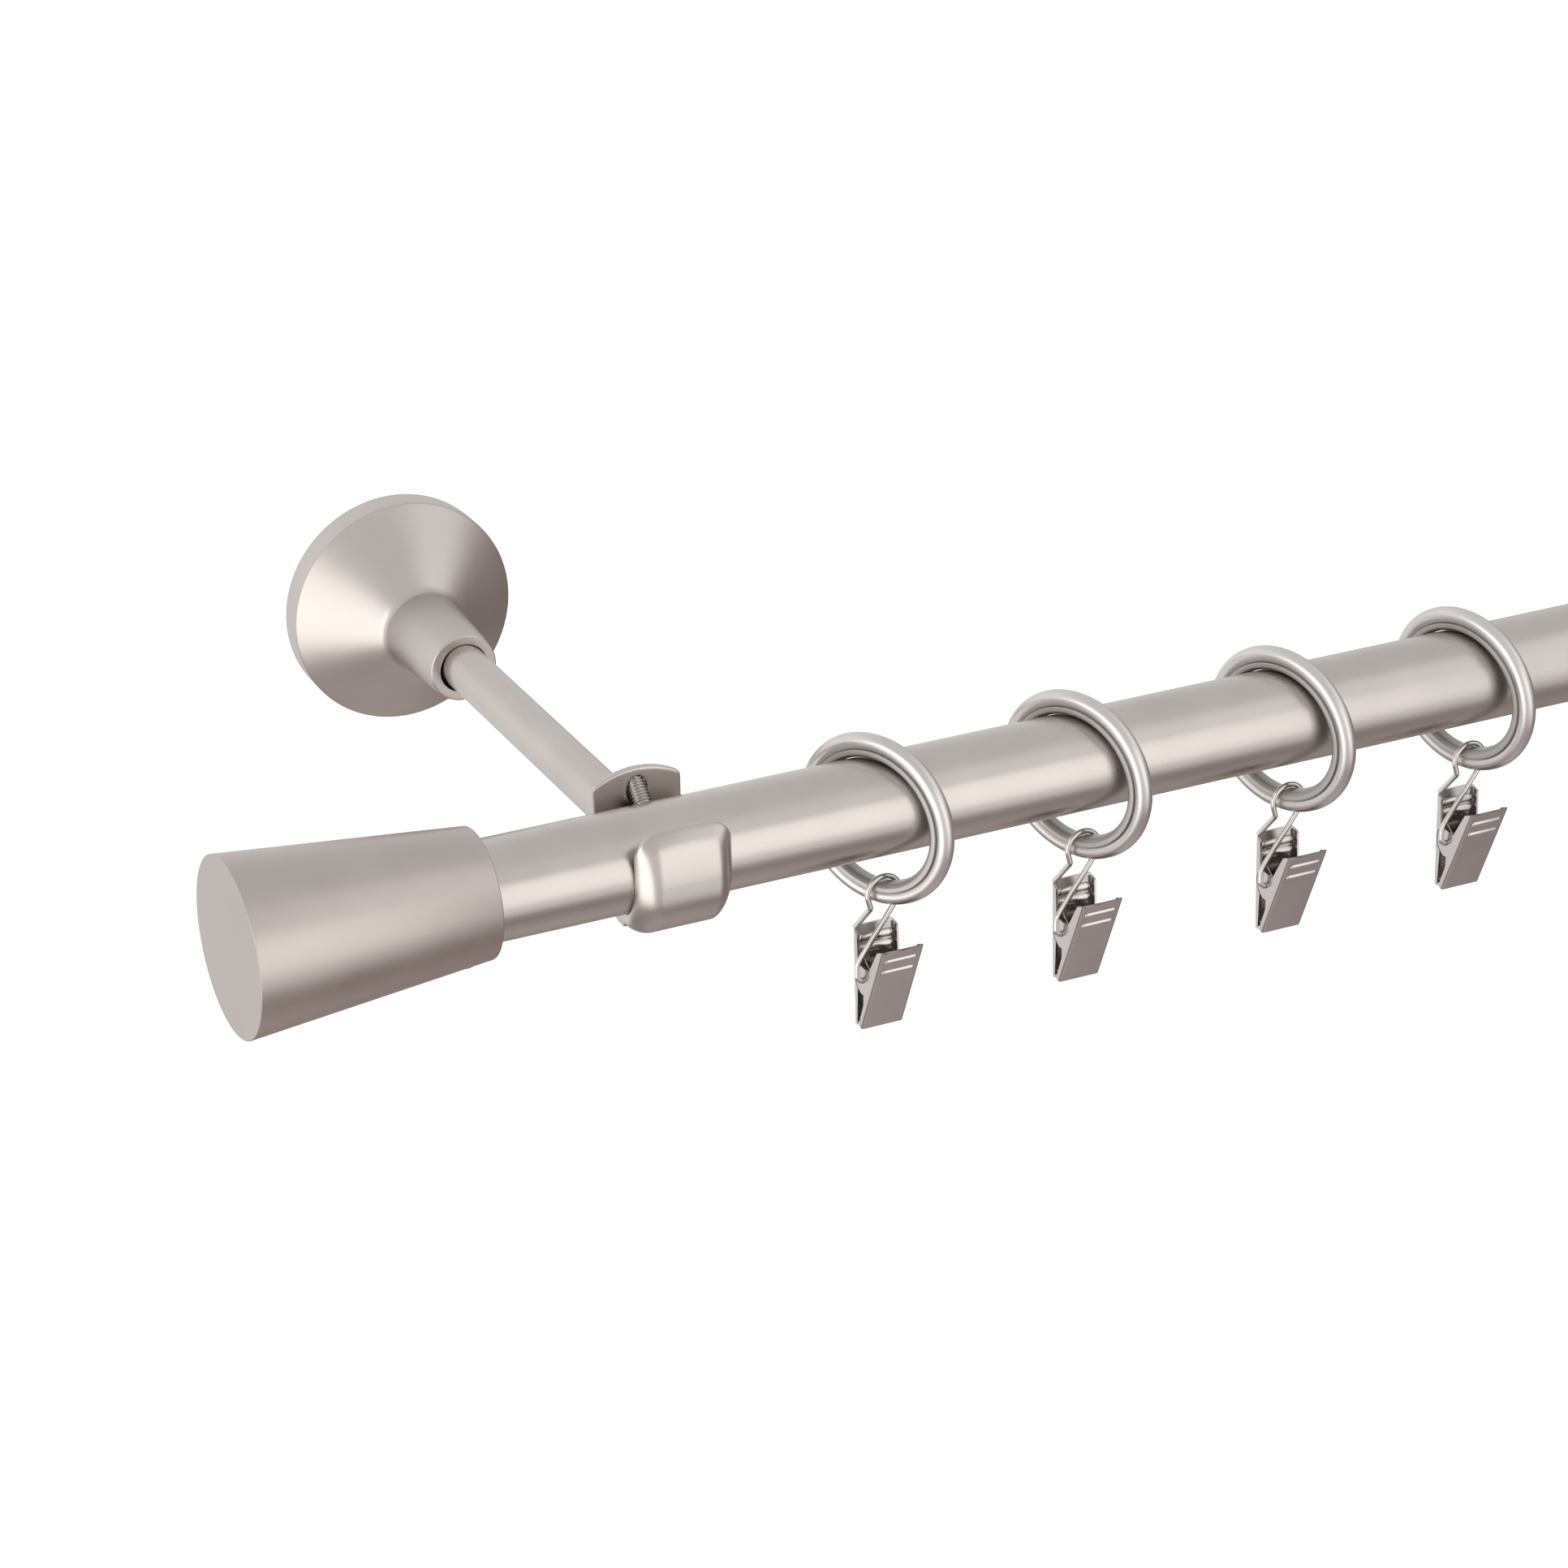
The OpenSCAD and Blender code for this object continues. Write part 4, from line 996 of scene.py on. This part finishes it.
def soft_step(source, low, high, at_low, at_high):
    """A smooth change from one value to another, numbers or outputs, between two values of a source."""
    step = wn.new("ShaderNodeMapRange")
    step.interpolation_type = "SMOOTHSTEP"
    wl.new(source, step.inputs["Value"])
    for key, value in (("From Min", low), ("From Max", high), ("To Min", at_low), ("To Max", at_high)):
        if isinstance(value, bpy.types.NodeSocket):
            wl.new(value, step.inputs[key])
        else:
            step.inputs[key].default_value = value
    return step.outputs["Result"]


def patch(azimuth, elevation, full, none, inside, outside):
    """A round patch of the surroundings: inside up to the full angle from its middle, outside past none."""
    dot = wn.new("ShaderNodeVectorMath")
    dot.operation = "DOT_PRODUCT"
    dot.inputs[1].default_value = towards(azimuth, elevation)
    wl.new(view_of, dot.inputs[0])
    angles = (math.cos(math.radians(a)) for a in (none, full))
    return soft_step(dot.outputs["Value"], *angles, outside, inside)


def worked(operation, a, b):
    node = wn.new("ShaderNodeMath")
    node.operation = operation
    wl.new(a, node.inputs[0])
    wl.new(b, node.inputs[1])
    return node.outputs["Value"]


def height(degrees):
    return math.sin(math.radians(degrees))


split = wn.new("ShaderNodeSeparateXYZ")
wl.new(view_of, split.inputs["Vector"])
level = split.outputs["Z"]
ground = soft_step(level, height(-78), height(-50), at_low=0.58, at_high=0.38)
walls = patch(-160, 8, full=25, none=60, inside=1.0, outside=0.83)
for bright_patch in (
    patch(-118, 12, full=18, none=50, inside=0.16, outside=0),
    patch(58, 33, full=10, none=30, inside=0.42, outside=0),
):
    walls = worked("ADD", walls, bright_patch)
walls = worked("MULTIPLY", walls, patch(100, -28, full=28, none=58, inside=0.36, outside=1))
glow = soft_step(level, height(-48), height(-30), ground, walls)
tint = wn.new("ShaderNodeMix")
tint.data_type = "RGBA"
tint.inputs["A"].default_value = GROUND_TINT
tint.inputs["B"].default_value = WHITE
wl.new(soft_step(glow, low=0.35, high=0.85, at_low=0, at_high=1), tint.inputs["Factor"])

out = wn.new("ShaderNodeOutputWorld")
sky = wn.new("ShaderNodeBackground")
white = wn.new("ShaderNodeBackground")
white.inputs["Color"].default_value = WHITE
rays = wn.new("ShaderNodeLightPath")
choose = wn.new("ShaderNodeMixShader")
wl.new(glow, sky.inputs["Strength"])
wl.new(tint.outputs["Result"], sky.inputs["Color"])
wl.new(rays.outputs["Is Camera Ray"], choose.inputs["Fac"])
wl.new(sky.outputs["Background"], choose.inputs[1])
wl.new(white.outputs["Background"], choose.inputs[2])
wl.new(choose.outputs["Shader"], out.inputs["Surface"])


# Floor: a pale ground under the part, which its metal doesn't show

FLOOR_Z = -0.9
FLOOR_CORNERS = ((-8, -8), (9, -8), (9, 8), (-8, 8))
FLOOR_COLOUR = (0.95, 0.95, 0.95, 1)
FLOOR_GLOW = 0.3
floor_mesh = bpy.data.meshes.new("floor")
floor_mesh.from_pydata([(x, y, FLOOR_Z) for x, y in FLOOR_CORNERS], [], [(0, 1, 2, 3)])
floor = bpy.data.objects.new("floor", floor_mesh)
bpy.context.scene.collection.objects.link(floor)
floor_paint = bpy.data.materials.new("floor")
floor_paint.use_nodes = True
paint = floor_paint.node_tree.nodes["Principled BSDF"]
paint.inputs["Base Color"].default_value = FLOOR_COLOUR
paint.inputs["Roughness"].default_value = 0.9
paint.inputs["Emission Color"].default_value = WHITE
floor_rays = floor_paint.node_tree.nodes.new("ShaderNodeLightPath")
lift = floor_paint.node_tree.nodes.new("ShaderNodeMath")
lift.operation = "MULTIPLY"
lift.inputs[1].default_value = FLOOR_GLOW
floor_paint.node_tree.links.new(floor_rays.outputs["Is Camera Ray"], lift.inputs[0])
floor_paint.node_tree.links.new(lift.outputs["Value"], paint.inputs["Emission Strength"])
floor_mesh.materials.append(floor_paint)
floor.visible_glossy = False


# Camera at the photograph's viewing angle: angles in radians, lengths in metres

AIM = Vector((0.0329, -0.1744, 0.0105))
AZIMUTH, ELEVATION, ROLL = 0.4472, 0.4385, -0.0122
DISTANCE = 1.07835
FOCAL_PIXELS, PICTURE_PIXELS = 5540.87, 1932
back = Vector((
    -math.sin(AZIMUTH) * math.cos(ELEVATION), -math.cos(AZIMUTH) * math.cos(ELEVATION), math.sin(ELEVATION)
))
right = (-back).cross(Vector((0, 0, 1))).normalized()
up = right.cross(-back)
turned = math.cos(ROLL) * right + math.sin(ROLL) * up
upright = math.cos(ROLL) * up - math.sin(ROLL) * right
camera_data = bpy.data.cameras.new("camera")
camera = bpy.data.objects.new("camera", camera_data)
bpy.context.scene.collection.objects.link(camera)
camera_data.sensor_width = 36
camera_data.lens = FOCAL_PIXELS * camera_data.sensor_width / PICTURE_PIXELS
camera_data.clip_start, camera_data.clip_end = 0.05, 50
axes = Matrix((turned, upright, back)).transposed().to_4x4()
camera.matrix_world = Matrix.Translation(AIM + DISTANCE * back) @ axes
bpy.context.scene.camera = camera
bpy.context.scene.view_settings.view_transform = "Standard"
